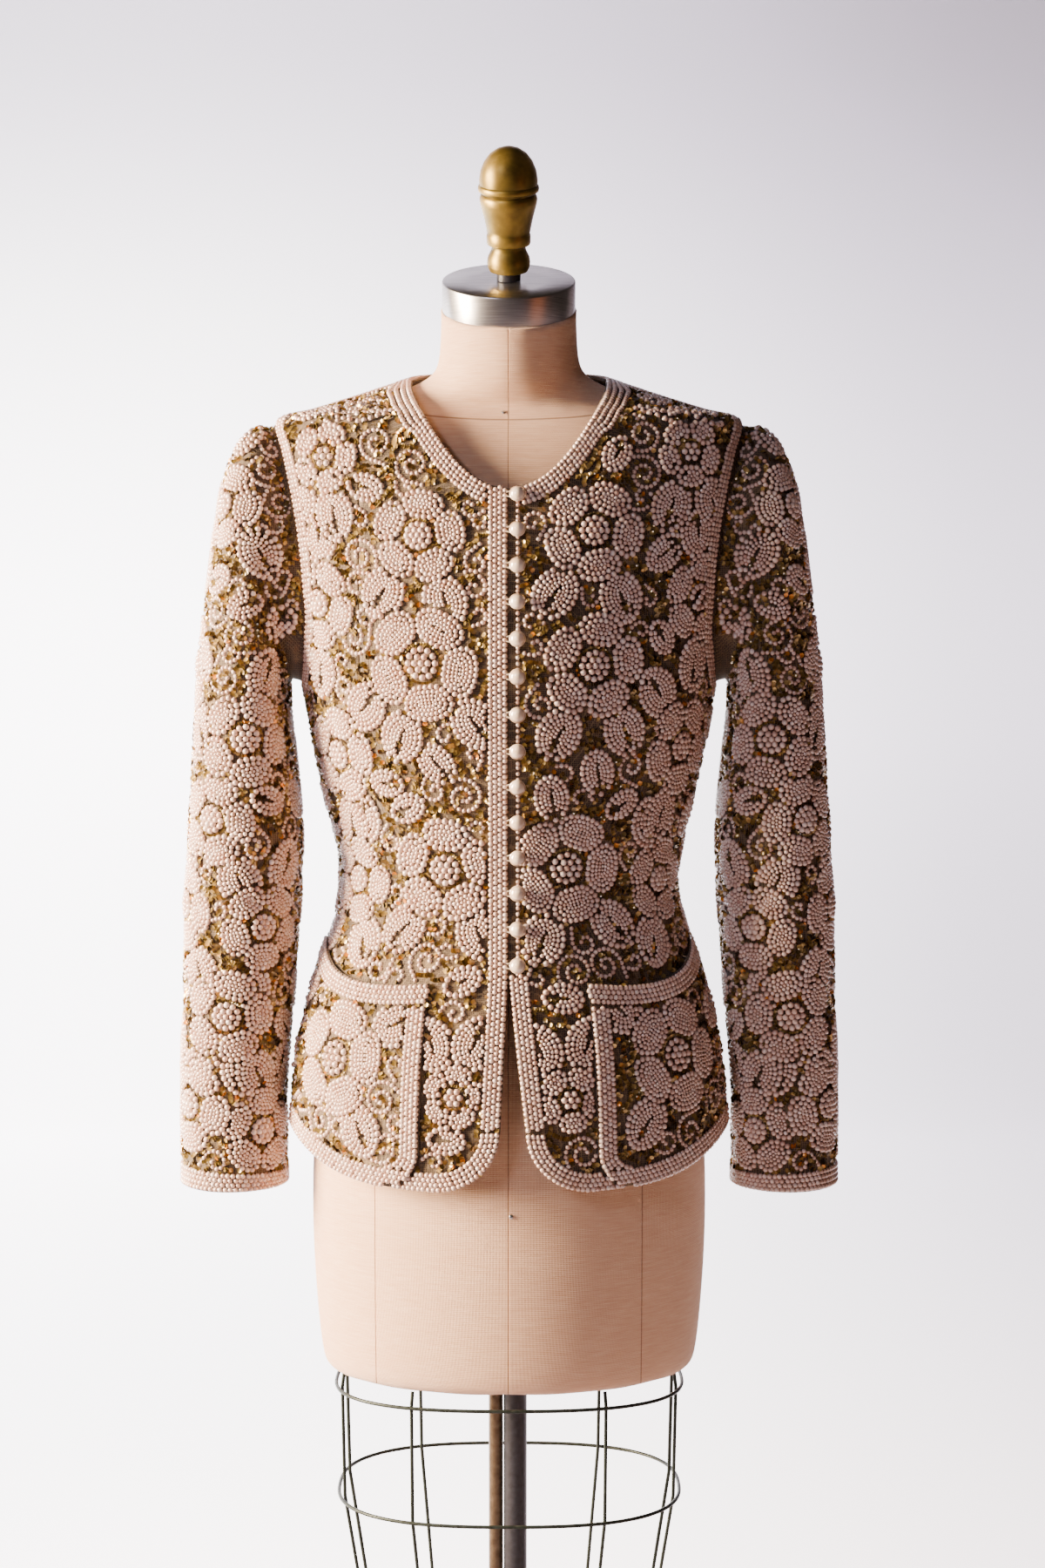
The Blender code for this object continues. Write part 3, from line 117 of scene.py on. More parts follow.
# The sleeve, one row for each ring below the armhole
SLEEVE_ROWS = (
    # outer_x, outer_z, inner_x, inner_z, half_depth, centre_y
    (0.2045, 1.3465, 0.1765, 1.1440, 0.054, 0.002),
    (0.2195, 1.3320, 0.1800, 1.1370, 0.057, 0.001),
    (0.2300, 1.3060, 0.1805, 1.1240, 0.060, 0.000),
    (0.2375, 1.2640, 0.1790, 1.1060, 0.061, -0.001),
    (0.2440, 1.2150, 0.1765, 1.0840, 0.061, -0.002),
    (0.2500, 1.1600, 0.1735, 1.0550, 0.060, -0.004),
    (0.2550, 1.1000, 0.1710, 1.0200, 0.058, -0.006),
    (0.2590, 1.0350, 0.1715, 0.9800, 0.055, -0.006),
    (0.2625, 0.9700, 0.1750, 0.9350, 0.052, -0.004),
    (0.2655, 0.8960, 0.1795, 0.8780, 0.049, 0.000),
    (0.2685, 0.8140, 0.1855, 0.8070, 0.047, 0.004),
    (0.2695, 0.7280, 0.1855, 0.7280, 0.047, 0.006),
)
SLEEVE_GAP = 0.4 * MM
SLEEVE_HEAD = 7.0 * MM
HEAD_OUTWARD = (0.05, 0.85)
HEAD_INTO = (1.0, 0.55)
SLEEVE_HALF_COUNT = 12
SLEEVE_RINGS = 72
SLEEVE_COLUMNS = 48

# Soft creases pressed into the cloth, each across the line it runs along
BODY_CREASES = (
    # angle, height, direction from up, half length, half width, depth
    (70, 1.015, 74, 0.050, 0.010, 0.0022),
    (-72, 1.000, 108, 0.046, 0.011, 0.0024),
    (74, 0.965, 96, 0.040, 0.009, 0.0018),
    (-70, 0.950, 84, 0.052, 0.010, 0.0019),
    (30, 1.060, 40, 0.045, 0.012, 0.0014),
    (-34, 1.075, 322, 0.050, 0.012, 0.0016),
    (140, 0.990, 100, 0.048, 0.011, 0.0020),
    (-143, 1.000, 80, 0.044, 0.010, 0.0022),
    (176, 0.955, 92, 0.060, 0.012, 0.0018),
    (66, 1.180, 28, 0.050, 0.013, 0.0016),
    (-64, 1.190, 334, 0.046, 0.012, 0.0018),
    (120, 1.210, 340, 0.052, 0.012, 0.0018),
    (-124, 1.200, 22, 0.048, 0.013, 0.0016),
)
SLEEVE_CREASES = (
    # angle, share, direction from up, half length, half width, depth
    (60, 0.300, 60, 0.050, 0.010, 0.0022),
    (110, 0.420, 72, 0.046, 0.009, 0.0028),
    (95, 0.500, 98, 0.052, 0.010, 0.0030),
    (120, 0.560, 110, 0.040, 0.009, 0.0026),
    (40, 0.610, 118, 0.044, 0.011, 0.0018),
    (-70, 0.380, 110, 0.044, 0.011, 0.0020),
    (-100, 0.520, 84, 0.050, 0.010, 0.0022),
    (20, 0.770, 64, 0.046, 0.012, 0.0018),
    (-60, 0.740, 70, 0.040, 0.010, 0.0016),
)

# Flowers, with the directions of two leaves in degrees from up
FLOWERS = (
    # angle, height, radius, turn, leaf_a, leaf_b
    (-22, 1.258, 0.036, 10, 160, 215),
    (-23, 1.158, 0.043, 30, 140, 200),
    (-21, 0.996, 0.040, 5, 150, 215),
    (-50, 1.322, 0.029, 20, 170, 215),
    (-57, 1.205, 0.035, 40, 10, 190),
    (-58, 1.085, 0.037, 15, 45, 180),
    (-60, 0.985, 0.034, 25, 20, 160),
    (-52, 0.845, 0.044, 12, 60, 150),
    (-14, 0.822, 0.024, 12, 20, 335),
    (21, 1.262, 0.039, 25, 155, 210),
    (23, 1.156, 0.040, 8, 150, 205),
    (19, 0.998, 0.042, 20, 140, 200),
    (49, 1.326, 0.028, 35, 150, 200),
    (57, 1.210, 0.034, 5, 350, 175),
    (59, 1.092, 0.038, 30, 320, 190),
    (60, 0.985, 0.033, 10, 335, 200),
    (50, 0.848, 0.043, 22, 310, 215),
    (16, 0.820, 0.025, 30, 20, 330),
    (-158, 1.285, 0.038, 15, 150, 205),
    (-160, 1.175, 0.042, 32, 150, 210),
    (-158, 1.065, 0.038, 5, 150, 205),
    (-160, 0.965, 0.034, 20, 150, 210),
    (-158, 0.860, 0.043, 10, 30, 150),
    (-122, 1.300, 0.030, 25, 160, 200),
    (-120, 1.100, 0.037, 12, 20, 170),
    (-118, 0.985, 0.034, 35, 20, 165),
    (-116, 0.865, 0.043, 18, 40, 145),
    (158, 1.280, 0.039, 30, 155, 210),
    (160, 1.170, 0.041, 12, 150, 205),
    (158, 1.060, 0.039, 22, 150, 215),
    (160, 0.960, 0.034, 8, 150, 205),
    (158, 0.862, 0.042, 28, 330, 210),
    (122, 1.305, 0.030, 10, 165, 205),
    (120, 1.095, 0.038, 30, 340, 185),
    (118, 0.985, 0.034, 15, 340, 195),
    (116, 0.862, 0.044, 5, 320, 215),
)
SLEEVE_FLOWERS = (
    # angle, along, radius, turn, leaf_a, leaf_b
    (40, 0.130, 0.034, 10, 120, 210),
    (95, 0.330, 0.037, 25, 20, 200),
    (10, 0.340, 0.038, 5, 150, 210),
    (60, 0.500, 0.036, 15, 150, 215),
    (120, 0.570, 0.034, 35, 20, 190),
    (20, 0.640, 0.036, 20, 150, 215),
    (85, 0.745, 0.037, 12, 150, 210),
    (40, 0.890, 0.038, 30, 20, 335),
    (130, 0.900, 0.034, 5, 20, 340),
    (-60, 0.220, 0.036, 22, 150, 205),
    (-40, 0.450, 0.037, 8, 150, 210),
    (-110, 0.430, 0.036, 30, 20, 195),
    (-80, 0.640, 0.037, 14, 150, 215),
    (-45, 0.800, 0.037, 26, 150, 205),
    (-125, 0.800, 0.036, 9, 20, 200),
    (-85, 0.925, 0.035, 18, 20, 330),
)
PETALS = 5
# Shares of a flower's radius
BOSS_RADIUS = 0.32
PETAL_START = 0.38
PETAL_END = 1.06
PETAL_DOME = 0.42
# A petal's outline is a rounded fan: an oval bent round the flower's middle
PETAL_SQUARENESS = 3.0
PETAL_GAP = 0.2 * MM
LEAF_START = 0.9
LEAF_LENGTH = 0.046
LEAF_WIDTH = 0.037
LEAF_SLIT_LENGTH = 0.45
LEAF_SLIT_WIDTH = 1.0 * MM
# Shares of half a leaf: how much its tip narrows, where its slit ends, and how open the slit is
LEAF_TAPER = 0.30
LEAF_SLIT_END = 0.7
LEAF_SLIT_OPEN = 0.8
# Small leaves between the flowers: half length and width, how their sizes vary, and the room they need
SMALL_LEAF = (0.0185, 0.0135)
SMALL_LEAF_SIZES = (0.85, 1.1)
SMALL_LEAF_ROOM = 0.93

# Pearl diameters, from the row at a motif's edge to the rows in its middle
BAND_PEARL = 4.3 * MM
BAND_LINES = 4
BAND_CLOSE = 0.95
BAND_ROW_STEP = 0.86
BAND_UNEVEN = 0.07
BAND_UNEVEN_TURN = 2.4
BAND_MARGIN = 0.2 * MM
CUFF_MARGIN = 0.3 * MM
ARMHOLE_LINES = 3
SHOULDER_LINES = {1: 3, -1: 2}
SHOULDER_PEARL = 3.9 * MM
BOSS_PEARL = 5.1 * MM
MOTIF_PEARLS = (4.9 * MM, 4.0 * MM, 3.4 * MM, 3.1 * MM, 3.0 * MM)
MIDDLE_PEARL = 2.7 * MM
ROW_STEP = 0.93
STRAND_PEARL = 3.8 * MM
# How much a band, a petal and a boss are padded under their pearls
BAND_PADDING = 0.9 * MM
PETAL_PADDING = 1.8 * MM
BOSS_PADDING = 2.6 * MM

SPIRAL_SIZES = (0.0150, 0.0125, 0.0105, 0.0080)
SPIRAL_PITCH = 7.6 * MM
SPIRAL_EYE = 2.0 * MM
SPIRAL_TAILS = (0.2, 0.9)
SPIRAL_TAIL_RISE = 0.35
SPIRAL_ROOM = 0.86
STRAND_STEP = 1.03

SEQUIN_RADIUS = 2.1 * MM
SEQUIN_STEP = 2.0 * MM
SEQUIN_TILT = 40.0
SEQUIN_CUP = 0.55 * MM
SEQUIN_STRING = 11
SEQUIN_CLEAR = 1.05 * MM
SEQUIN_ROUNDS = 9

# Pockets
POCKET_INNER_ANGLE = 23.0
POCKET_OUTER_ANGLE = 81.0
POCKET_INNER_TOP = 0.908
POCKET_OUTER_TOP = 0.936
POCKET_CURVE = 2.4
POCKET_DIP = 0.006
POCKET_CORNER = 0.030
POCKET_WIDTH = 0.155
POCKET_LIFT = 0.9 * MM
POCKET_GAPE = 2.2 * MM
POCKET_GAPE_DEPTH = 0.06
POCKET_BOTTOM_MARGIN = 2.0 * MM
POCKET_FACE = POCKET_LIFT + CLOTH
POCKET_RADIUS = 0.15
POCKET_COLUMNS = 27
POCKET_ROWS = 29
POCKET_CROWDING = 1.25

# Buttons
BUTTON_COUNT = 14
BUTTON_X = 7.0 * MM
BUTTON_TOP = 1.290
BUTTON_BOTTOM = 0.922
BUTTON_SEAT = 3.5 * MM
BUTTON_STRIP = 0.0125
BUTTON_PROFILE = (
    # radius, height, in millimetres
    (4.4, 0.2),
    (5.9, 0.5),
    (6.3, 0.9),
    (6.3, 1.3),
    (5.9, 1.7),
    (5.75, 2.1),
    (5.3, 3.2),
    (4.4, 4.3),
    (3.2, 5.1),
    (1.7, 5.65),
    (0.5, 5.85),
)

# Turned pieces, all by radius and height in millimetres
CAP_PROFILE = ((53.5, 0.0), (53.5, 22.6), (53.1, 23.5), (52.2, 24.0), (30.0, 24.0), (12.0, 24.0))
CAP_HEIGHT = 24.0 * MM
STEM_PROFILE = ((9.5, 0.3), (9.5, 6.3))
STEM_HEIGHT = 6.0 * MM
FINIAL_PROFILE = (
    (12.0, 0.0),
    (15.2, 1.2),
    (16.6, 4.2),
    (17.3, 8.0),
    (16.6, 12.5),
    (14.4, 17.0),
    (13.6, 19.6),
    (13.9, 21.4),
    (17.0, 22.6),
    (17.5, 24.0),
    (17.5, 30.0),
    (17.0, 31.2),
    (17.6, 34.5),
    (19.6, 44.0),
    (22.2, 54.0),
    (23.0, 58.5),
    (22.2, 61.2),
    (20.9, 62.4),
    (21.4, 63.6),
    (23.9, 64.8),
    (24.3, 66.6),
    (23.9, 68.6),
    (22.9, 69.6),
    (23.1, 73.5),
    (22.0, 80.5),
    (19.2, 87.5),
    (14.6, 93.6),
    (8.6, 97.6),
    (3.0, 99.2),
)
POLE_RADIUS = 9.6
POLE_X = 5.0 * MM
TUBE_RADIUS = 6.0
TUBE_X = -11.2 * MM
TUBE_Y = 4.0 * MM
POLE_BOTTOM = 66.3
POLE_TOP = 575.7
BASE_PROFILE = (
    (199.2, 0.0),
    (200.0, 0.8),
    (200.0, 7.6),
    (199.0, 9.8),
    (196.5, 12.2),
    (192.0, 14.2),
    (160.0, 17.0),
    (120.0, 20.0),
    (80.0, 23.4),
    (52.0, 26.2),
    (42.0, 28.8),
    (36.0, 33.0),
    (33.4, 40.0),
    (31.4, 52.0),
    (29.8, 61.0),
    (28.0, 64.6),
    (24.0, 66.0),
    (12.0, 66.0),
)

# Wire cage
WIRE_RADIUS = 1.5 * MM
CAGE_RINGS = (
    # height, half_width, half_depth
    (0.5640, 0.1430, 0.0930),
    (0.4740, 0.1410, 0.1030),
    (0.3600, 0.1220, 0.0880),
)
CAGE_TOP = (0.5757, 0.1415, 0.0900)
CAGE_SQUARENESS = 2.6
CAGE_WIRE_ANGLES = (28, 78, 102, 152, 208, 258, 282, 332)
CAGE_WIRE_INSET = 3.9 * MM
HOOP_POINTS = 112

# Seams of the dress form's linen cover
FORM_PRINCESS_X = 0.106
NECK_SEAM_HEIGHT = 1.372
NECK_SEAM_SLOPE = 0.42

SIDES = {"right": -1.0, "left": 1.0}


# Studio


def linear(code):
    """A colour given as an sRGB hex code, as the renderer's linear values."""
    channels = [int(code[place : place + 2], 16) / 255 for place in (1, 3, 5)]
    bent = [c / 12.92 if c <= 0.04045 else ((c + 0.055) / 1.055) ** 2.4 for c in channels]
    return (*bent, 1.0)


def aim(place, target):
    return (Vector(target) - Vector(place)).to_track_quat("-Z", "Y").to_euler()


def make_camera():
    lens = bpy.data.cameras.new("camera")
    lens.lens = CAMERA_LENS
    lens.sensor_width = CAMERA_SENSOR
    camera = bpy.data.objects.new("camera", lens)
    camera.location = CAMERA_PLACE
    camera.rotation_euler = aim(CAMERA_PLACE, CAMERA_TARGET)
    bpy.context.scene.collection.objects.link(camera)
    bpy.context.scene.camera = camera


# A strong window light from the viewer's left, two weak fills, and the room's warm air
LIGHTS = (
    # name, place, target, width, height, watts, colour
    ("window", (-2.1, -0.40, 1.40), (0.0, 0.0, 0.86), 0.8, 1.3, 140.0, "#FFE4C6"),
    ("front_fill", (-1.4, -2.3, 2.2), (0.0, 0.0, 1.10), 0.5, 0.5, 4.8, "#E6DFFA"),
    ("right_fill", (1.9, -1.5, 0.6), (0.0, 0.0, 1.00), 1.0, 1.4, 0.5, "#FF8C48"),
)
# The lamps' grids keep their light on the form and off the floor
LAMP_SPREAD = math.radians(90.0)
AIR_COLOUR = "#F0D6C8"
AIR_STRENGTH = 0.045


def make_lights():
    for name, place, target, width, height, watts, colour in LIGHTS:
        lamp = bpy.data.lights.new(name, "AREA")
        lamp.shape = "RECTANGLE"
        lamp.size = width
        lamp.size_y = height
        lamp.energy = watts
        lamp.color = linear(colour)[:3]
        lamp.spread = LAMP_SPREAD
        holder = bpy.data.objects.new(name, lamp)
        holder.location = place
        holder.rotation_euler = aim(place, target)
        bpy.context.scene.collection.objects.link(holder)
    world = bpy.data.worlds.new("studio_air")
    bpy.context.scene.world = world
    world.use_nodes = True
    air = world.node_tree.nodes["Background"]
    air.inputs["Color"].default_value = linear(AIR_COLOUR)
    air.inputs["Strength"].default_value = AIR_STRENGTH


# The paper glows with its own painted light behind the form, and less towards the right and the top as
# painted shade
BACKDROP_GLOW = 7.0
PAINTED_GLOW_FADES = (
    # axis, from, to, share of the glow at each
    ("X", -1.25, 1.50, 1.0, 0.26),
    ("X", 1.6, 2.3, 1.0, 0.04),
    ("Y", 0.2, 1.0, 0.0, 1.0),
    ("Z", 1.1, 2.9, 1.0, 0.26),
)
SWEEP_WIDTH = 14.0
SWEEP_BACK = 4.6
SWEEP_FRONT = -5.0
SWEEP_HEIGHT = 6.0
SWEEP_BEND = 0.9
SWEEP_SEGMENTS = 16
ON_FLOOR = 0.01


def make_sweep():
    """Floor and backdrop as one sheet of pale paper with a soft bend."""
    forget_selection()
    bpy.ops.mesh.primitive_plane_add(size=1.0, location=(0.0, 0.0, 0.0))
    sweep = bpy.context.object
    sweep.name = "backdrop"
    bpy.ops.object.mode_set(mode="EDIT")
    bpy.ops.transform.resize(value=(SWEEP_WIDTH, SWEEP_BACK - SWEEP_FRONT, 1.0))
    bpy.ops.transform.translate(value=(0.0, (SWEEP_BACK + SWEEP_FRONT) / 2, 0.0))
    bpy.ops.mesh.select_all(action="DESELECT")
    bpy.ops.object.mode_set(mode="OBJECT")
    for edge in sweep.data.edges:
        ends = [sweep.data.vertices[corner].co.y for corner in edge.vertices]
        edge.select = min(ends) > 0.0
    bpy.ops.object.mode_set(mode="EDIT")
    bpy.ops.mesh.extrude_region_move(TRANSFORM_OT_translate={"value": (0.0, 0.0, SWEEP_HEIGHT)})
    bpy.ops.object.mode_set(mode="OBJECT")
    for edge in sweep.data.edges:
        places = [sweep.data.vertices[corner].co for corner in edge.vertices]
        edge.select = all(place.z < ON_FLOOR and place.y > 0.0 for place in places)
    bpy.ops.object.mode_set(mode="EDIT")
    bpy.ops.mesh.bevel(offset=SWEEP_BEND, segments=SWEEP_SEGMENTS)
    bpy.ops.object.mode_set(mode="OBJECT")
    sweep.data.shade_smooth()
    sweep.data.materials.append(FINISH["backdrop_paper"])


# Materials


def node(tree, kind, settings=None, links=None):
    """Adds a node, with settings by property or socket name, and links by socket."""
    made = tree.nodes.new(kind)
    for key, value in (settings or {}).items():
        if isinstance(key, str) and hasattr(made, key):
            setattr(made, key, value)
        else:
            made.inputs[key].default_value = value
    for socket, source in (links or {}).items():
        tree.links.new(source, made.inputs[socket])
    return made


def new_finish(name, settings):
    """A material with its main shader's own values set."""
    material = bpy.data.materials.new(name)
    material.use_nodes = True
    shader = material.node_tree.nodes["Principled BSDF"]
    for socket, value in settings.items():
        shader.inputs[socket].default_value = value
    return material, material.node_tree, shader


def ramp(tree, source, stops):
    made = node(tree, "ShaderNodeValToRGB", None, {"Fac": source})
    band = made.color_ramp
    while len(band.elements) < len(stops):
        band.elements.new(0.5)
    for element, (place, colour) in zip(band.elements, stops):
        element.position = place
        element.color = linear(colour)
    return made.outputs["Color"]


def bump(tree, shader, height, distance, strength=1.0):
    made = node(tree, "ShaderNodeBump", {"Distance": distance, "Strength": strength}, {"Height": height})
    tree.links.new(made.outputs["Normal"], shader.inputs["Normal"])


def clouded(tree, scale, detail, stops, stretch=(1.0, 1.0, 1.0)):
    """A colour that drifts over the piece in clouds, and the clouds themselves."""
    place = node(tree, "ShaderNodeTexCoord")
    drawn = node(tree, "ShaderNodeMapping", {"Scale": stretch}, {"Vector": place.outputs["Object"]})
    settings = {"Scale": scale, "Detail": detail}
    cloud = node(tree, "ShaderNodeTexNoise", settings, {"Vector": drawn.outputs["Vector"]})
    return ramp(tree, cloud.outputs["Fac"], stops), cloud.outputs["Fac"]


# Blend of the painted shade that darkens a bead towards its rim
RIM_SHADE_BLEND = 0.45


def painted_rim_shade(tree, colour, rim, amount):
    """Painted shade: pearl skin is darkened in colour towards the rim that the eye sees, so that the bead
    looks round.
    """
    facing = node(tree, "ShaderNodeLayerWeight", {"Blend": RIM_SHADE_BLEND})
    share = node(tree, "ShaderNodeMath", {"operation": "MULTIPLY", 1: amount}, {0: facing.outputs["Facing"]})
    mixed = node(
        tree,
        "ShaderNodeMix",
        {"data_type": "RGBA", "blend_type": "MULTIPLY", 7: linear(rim)},
        {0: share.outputs[0], 6: colour},
    )
    return mixed.outputs[2]


def pearl_finish():
    """Glass beads dipped in pearl essence: a soft satin body under a clear, wet-looking skin."""
    material, tree, shader = new_finish(
        "pearl_essence_on_glass",
        {"Roughness": 0.24, "IOR": 1.6, "Coat Weight": 1.0, "Coat Roughness": 0.08, "Coat IOR": 1.85},
    )
    tint = node(tree, "ShaderNodeAttribute", {"attribute_name": "tint"})
    stops = ((0.0, "#CFA28B"), (0.35, "#E2BDA6"), (0.7, "#EFD2BE"), (1.0, "#F8E5D5"))
    colour = ramp(tree, tint.outputs["Fac"], stops)
    # Painted shade: each pearl's rim is darkened towards brown
    tree.links.new(painted_rim_shade(tree, colour, "#A06A55", 0.85), shader.inputs["Base Color"])
    return material


def button_finish():
    """Larger moulded pearl: creamier, with a cloudy swirl in its skin."""
    material, tree, shader = new_finish(
        "cream_pearl_button",
        {"Roughness": 0.2, "IOR": 1.6, "Coat Weight": 1.0, "Coat Roughness": 0.1, "Coat IOR": 1.85},
    )
    colour, _ = clouded(tree, 160.0, 2.0, ((0.3, "#EFD2AE"), (0.7, "#FFF2DC")))
    # Painted shade: each button's rim is darkened towards brown
    tree.links.new(painted_rim_shade(tree, colour, "#8A5A38", 0.95), shader.inputs["Base Color"])
    return material


def sequin_finish():
    """Cupped plastic sequins with an old gold film, some greened and some amber."""
    material, tree, shader = new_finish(
        "old_gold_film", {"Metallic": 0.4, "Roughness": 0.25, "Coat Weight": 0.5, "Coat Roughness": 0.08}
    )
    tint = node(tree, "ShaderNodeAttribute", {"attribute_name": "tint"})
    stops = ((0.0, "#54441F"), (0.35, "#826A34"), (0.62, "#AF914E"), (0.84, "#DDB970"), (0.97, "#E38E24"))
    colour = ramp(tree, tint.outputs["Fac"], stops)
    tree.links.new(colour, shader.inputs["Base Color"])
    return material


# Holes of the silk net are about 1.6 mm apart, and its threads tint the cotton by this share
NET_SCALE = 1.0 / (1.6 * MM)
NET_SHOW = 0.35


def net_finish():
    """Ivory silk net over thin cotton: dull, with a honeycomb of threads that shows between the beads, over a
    ground painted dark brown as the shade between the beads.
    """
    material, tree, shader = new_finish(
        "silk_net_on_cotton", {"Roughness": 0.88, "Sheen Weight": 0.25, "Sheen Roughness": 0.5}
    )
    place = node(tree, "ShaderNodeTexCoord")
    net = node(
        tree,
        "ShaderNodeTexVoronoi",
        {"feature": "DISTANCE_TO_EDGE", "Scale": NET_SCALE, "Randomness": 0.25},
        {"Vector": place.outputs["Object"]},
    )
    # Painted shade: the cotton ground and the holes between the net's threads are dark brown so that the gaps
    # between the beads read as shadow; the clouds vary its tone at random
    ground, _ = clouded(tree, 35.0, 4.0, ((0.38, "#2A1B0E"), (0.58, "#4A3520"), (0.74, "#967C55")))
    threads = ramp(tree, net.outputs["Distance"], ((0.05, "#B79F78"), (0.12, "#352515")))
    settings = {"data_type": "RGBA", "blend_type": "MIX", 0: NET_SHOW}
    mixed = node(tree, "ShaderNodeMix", settings, {6: ground, 7: threads})
    tree.links.new(mixed.outputs[2], shader.inputs["Base Color"])
    bump(tree, shader, net.outputs["Distance"], 0.3 * MM, 0.5)
    return material


# Linen threads are 0.5 mm apart; they are drawn at 1.2 mm so that the weave shows
LINEN_PITCH = 1.2 * MM
FORM_MEAN_RADIUS = 0.14
# How far a seam lies under the weave, in heights of its threads
SEAM_SINK = 6.0


def linen_finish():
    """Linen cover stretched on the form: matte, plain woven, slubbed, with fine sunk seams."""
    material, tree, shader = new_finish(
        "natural_linen", {"Roughness": 0.9, "Sheen Weight": 0.35, "Sheen Roughness": 0.6}
    )
    place = node(tree, "ShaderNodeTexCoord")
    axes = node(tree, "ShaderNodeSeparateXYZ", None, {"Vector": place.outputs["Object"]})
    x, y, z = axes.outputs
    turn = node(tree, "ShaderNodeMath", {"operation": "ARCTAN2"}, {0: x, 1: y})
    waves = []
    for source, length in ((turn.outputs[0], 2 * math.pi * FORM_MEAN_RADIUS), (z, 2 * math.pi)):
        thread = node(tree, "ShaderNodeMath", {"operation": "MULTIPLY", 1: length / LINEN_PITCH}, {0: source})
        waves.append(node(tree, "ShaderNodeMath", {"operation": "SINE"}, {0: thread.outputs[0]}).outputs[0])
    weave = node(tree, "ShaderNodeMath", {"operation": "ADD"}, dict(enumerate(waves)))
    stops = ((0.3, "#E2B088"), (0.55, "#EABD96"), (0.75, "#F0C8A4"))
    cloth, _ = clouded(tree, 1.0, 3.0, stops, (60.0, 60.0, 900.0))
    seams = linen_seams(tree, x, y, z)
    settings = {"data_type": "RGBA", "blend_type": "MULTIPLY", 7: linear("#A98C70")}
    shade = node(tree, "ShaderNodeMix", settings, {0: seams, 6: cloth})
    tree.links.new(shade.outputs[2], shader.inputs["Base Color"])
    settings = {"operation": "MULTIPLY_ADD", 1: -SEAM_SINK}
    low = node(tree, "ShaderNodeMath", settings, {0: seams, 2: weave.outputs[0]})
    bump(tree, shader, low.outputs[0], 0.12 * MM, 0.6)
    return material


SEAM_HALF_WIDTH = 0.7 * MM


def linen_seams(tree, x, y, z):
    """1 on the form's seams: centre front and back, princess lines, sides and round the neck's base."""
    neck = node(tree, "ShaderNodeMath", {"operation": "MULTIPLY_ADD", 1: -NECK_SEAM_SLOPE}, {0: y, 2: z})
    nearest = node(tree, "ShaderNodeMath", {"operation": "ABSOLUTE"}, {0: x}).outputs[0]
    lines = ((nearest, FORM_PRINCESS_X), (y, 0.0), (neck.outputs[0], NECK_SEAM_HEIGHT))
    for source, place in lines:
        apart = node(tree, "ShaderNodeMath", {"operation": "SUBTRACT", 1: place}, {0: source})
        apart = node(tree, "ShaderNodeMath", {"operation": "ABSOLUTE"}, {0: apart.outputs[0]})
        links = {0: nearest, 1: apart.outputs[0]}
        nearest = node(tree, "ShaderNodeMath", {"operation": "MINIMUM"}, links).outputs[0]
    settings = {"interpolation_type": "SMOOTHSTEP", 1: SEAM_HALF_WIDTH, 2: 0.0, 3: 0.0, 4: 1.0}
    return node(tree, "ShaderNodeMapRange", settings, {0: nearest}).outputs[0]


def steel_finish():
    """Steel faced on a lathe: fine rings that stretch the highlights round the cap."""
    material, tree, shader = new_finish("lathe_faced_steel", {"Metallic": 1.0, "Roughness": 0.28})
    stops = ((0.3, "#A9A7A6"), (0.7, "#D6D3D0"))
    colour, grain = clouded(tree, 1.0, 4.0, stops, (40.0, 40.0, 2600.0))
    tree.links.new(colour, shader.inputs["Base Color"])
    bump(tree, shader, grain, 0.08 * MM, 0.5)
    return material


def gold_finish():
    """Antique gold paint on turned wood: satin, brushed thin on the edges, dark in the grooves."""
    material, tree, shader = new_finish("antique_gold_paint", {"Metallic": 0.8, "Roughness": 0.38})
    colour, cloud = clouded(tree, 45.0, 6.0, ((0.3, "#6B5825"), (0.5, "#9C8239"), (0.72, "#CDAB5E")))
    worn = node(tree, "ShaderNodeNewGeometry").outputs["Pointiness"]
    edge = node(tree, "ShaderNodeMapRange", {1: 0.42, 2: 0.56, 3: 0.0, 4: 1.0}, {0: worn})
    settings = {"data_type": "RGBA", "blend_type": "MIX", 6: linear("#4E451F")}
    mixed = node(tree, "ShaderNodeMix", settings, {0: edge.outputs[0], 7: colour})
    tree.links.new(mixed.outputs[2], shader.inputs["Base Color"])
    bump(tree, shader, cloud, 0.25 * MM, 0.35)
    return material


def painted_finish(name, dark, light, roughness, metallic, grain, depth):
    """Paint or lacquer over metal: a slightly mottled colour and a fine orange peel."""
    material, tree, shader = new_finish(name, {"Roughness": roughness, "Metallic": metallic})
    colour, mottle = clouded(tree, grain, 5.0, ((0.3, dark), (0.7, light)))
    tree.links.new(colour, shader.inputs["Base Color"])
    bump(tree, shader, mottle, depth, 0.5)
    return material


def thread_finish():
    """Twisted silk cord in ivory: soft sheen along its length."""
    material, tree, shader = new_finish(
        "ivory_silk_cord", {"Roughness": 0.6, "Sheen Weight": 0.4, "Sheen Roughness": 0.3}
    )
    place = node(tree, "ShaderNodeTexCoord")
    ply = node(
        tree,
        "ShaderNodeTexWave",
        {"Scale": 900.0, "Distortion": 1.0, "bands_direction": "DIAGONAL"},
        {"Vector": place.outputs["Object"]},
    )
    colour = ramp(tree, ply.outputs["Fac"], ((0.0, "#BFA98C"), (1.0, "#EFE2CC")))
    tree.links.new(colour, shader.inputs["Base Color"])
    bump(tree, shader, ply.outputs["Fac"], 0.1 * MM, 0.6)
    return material


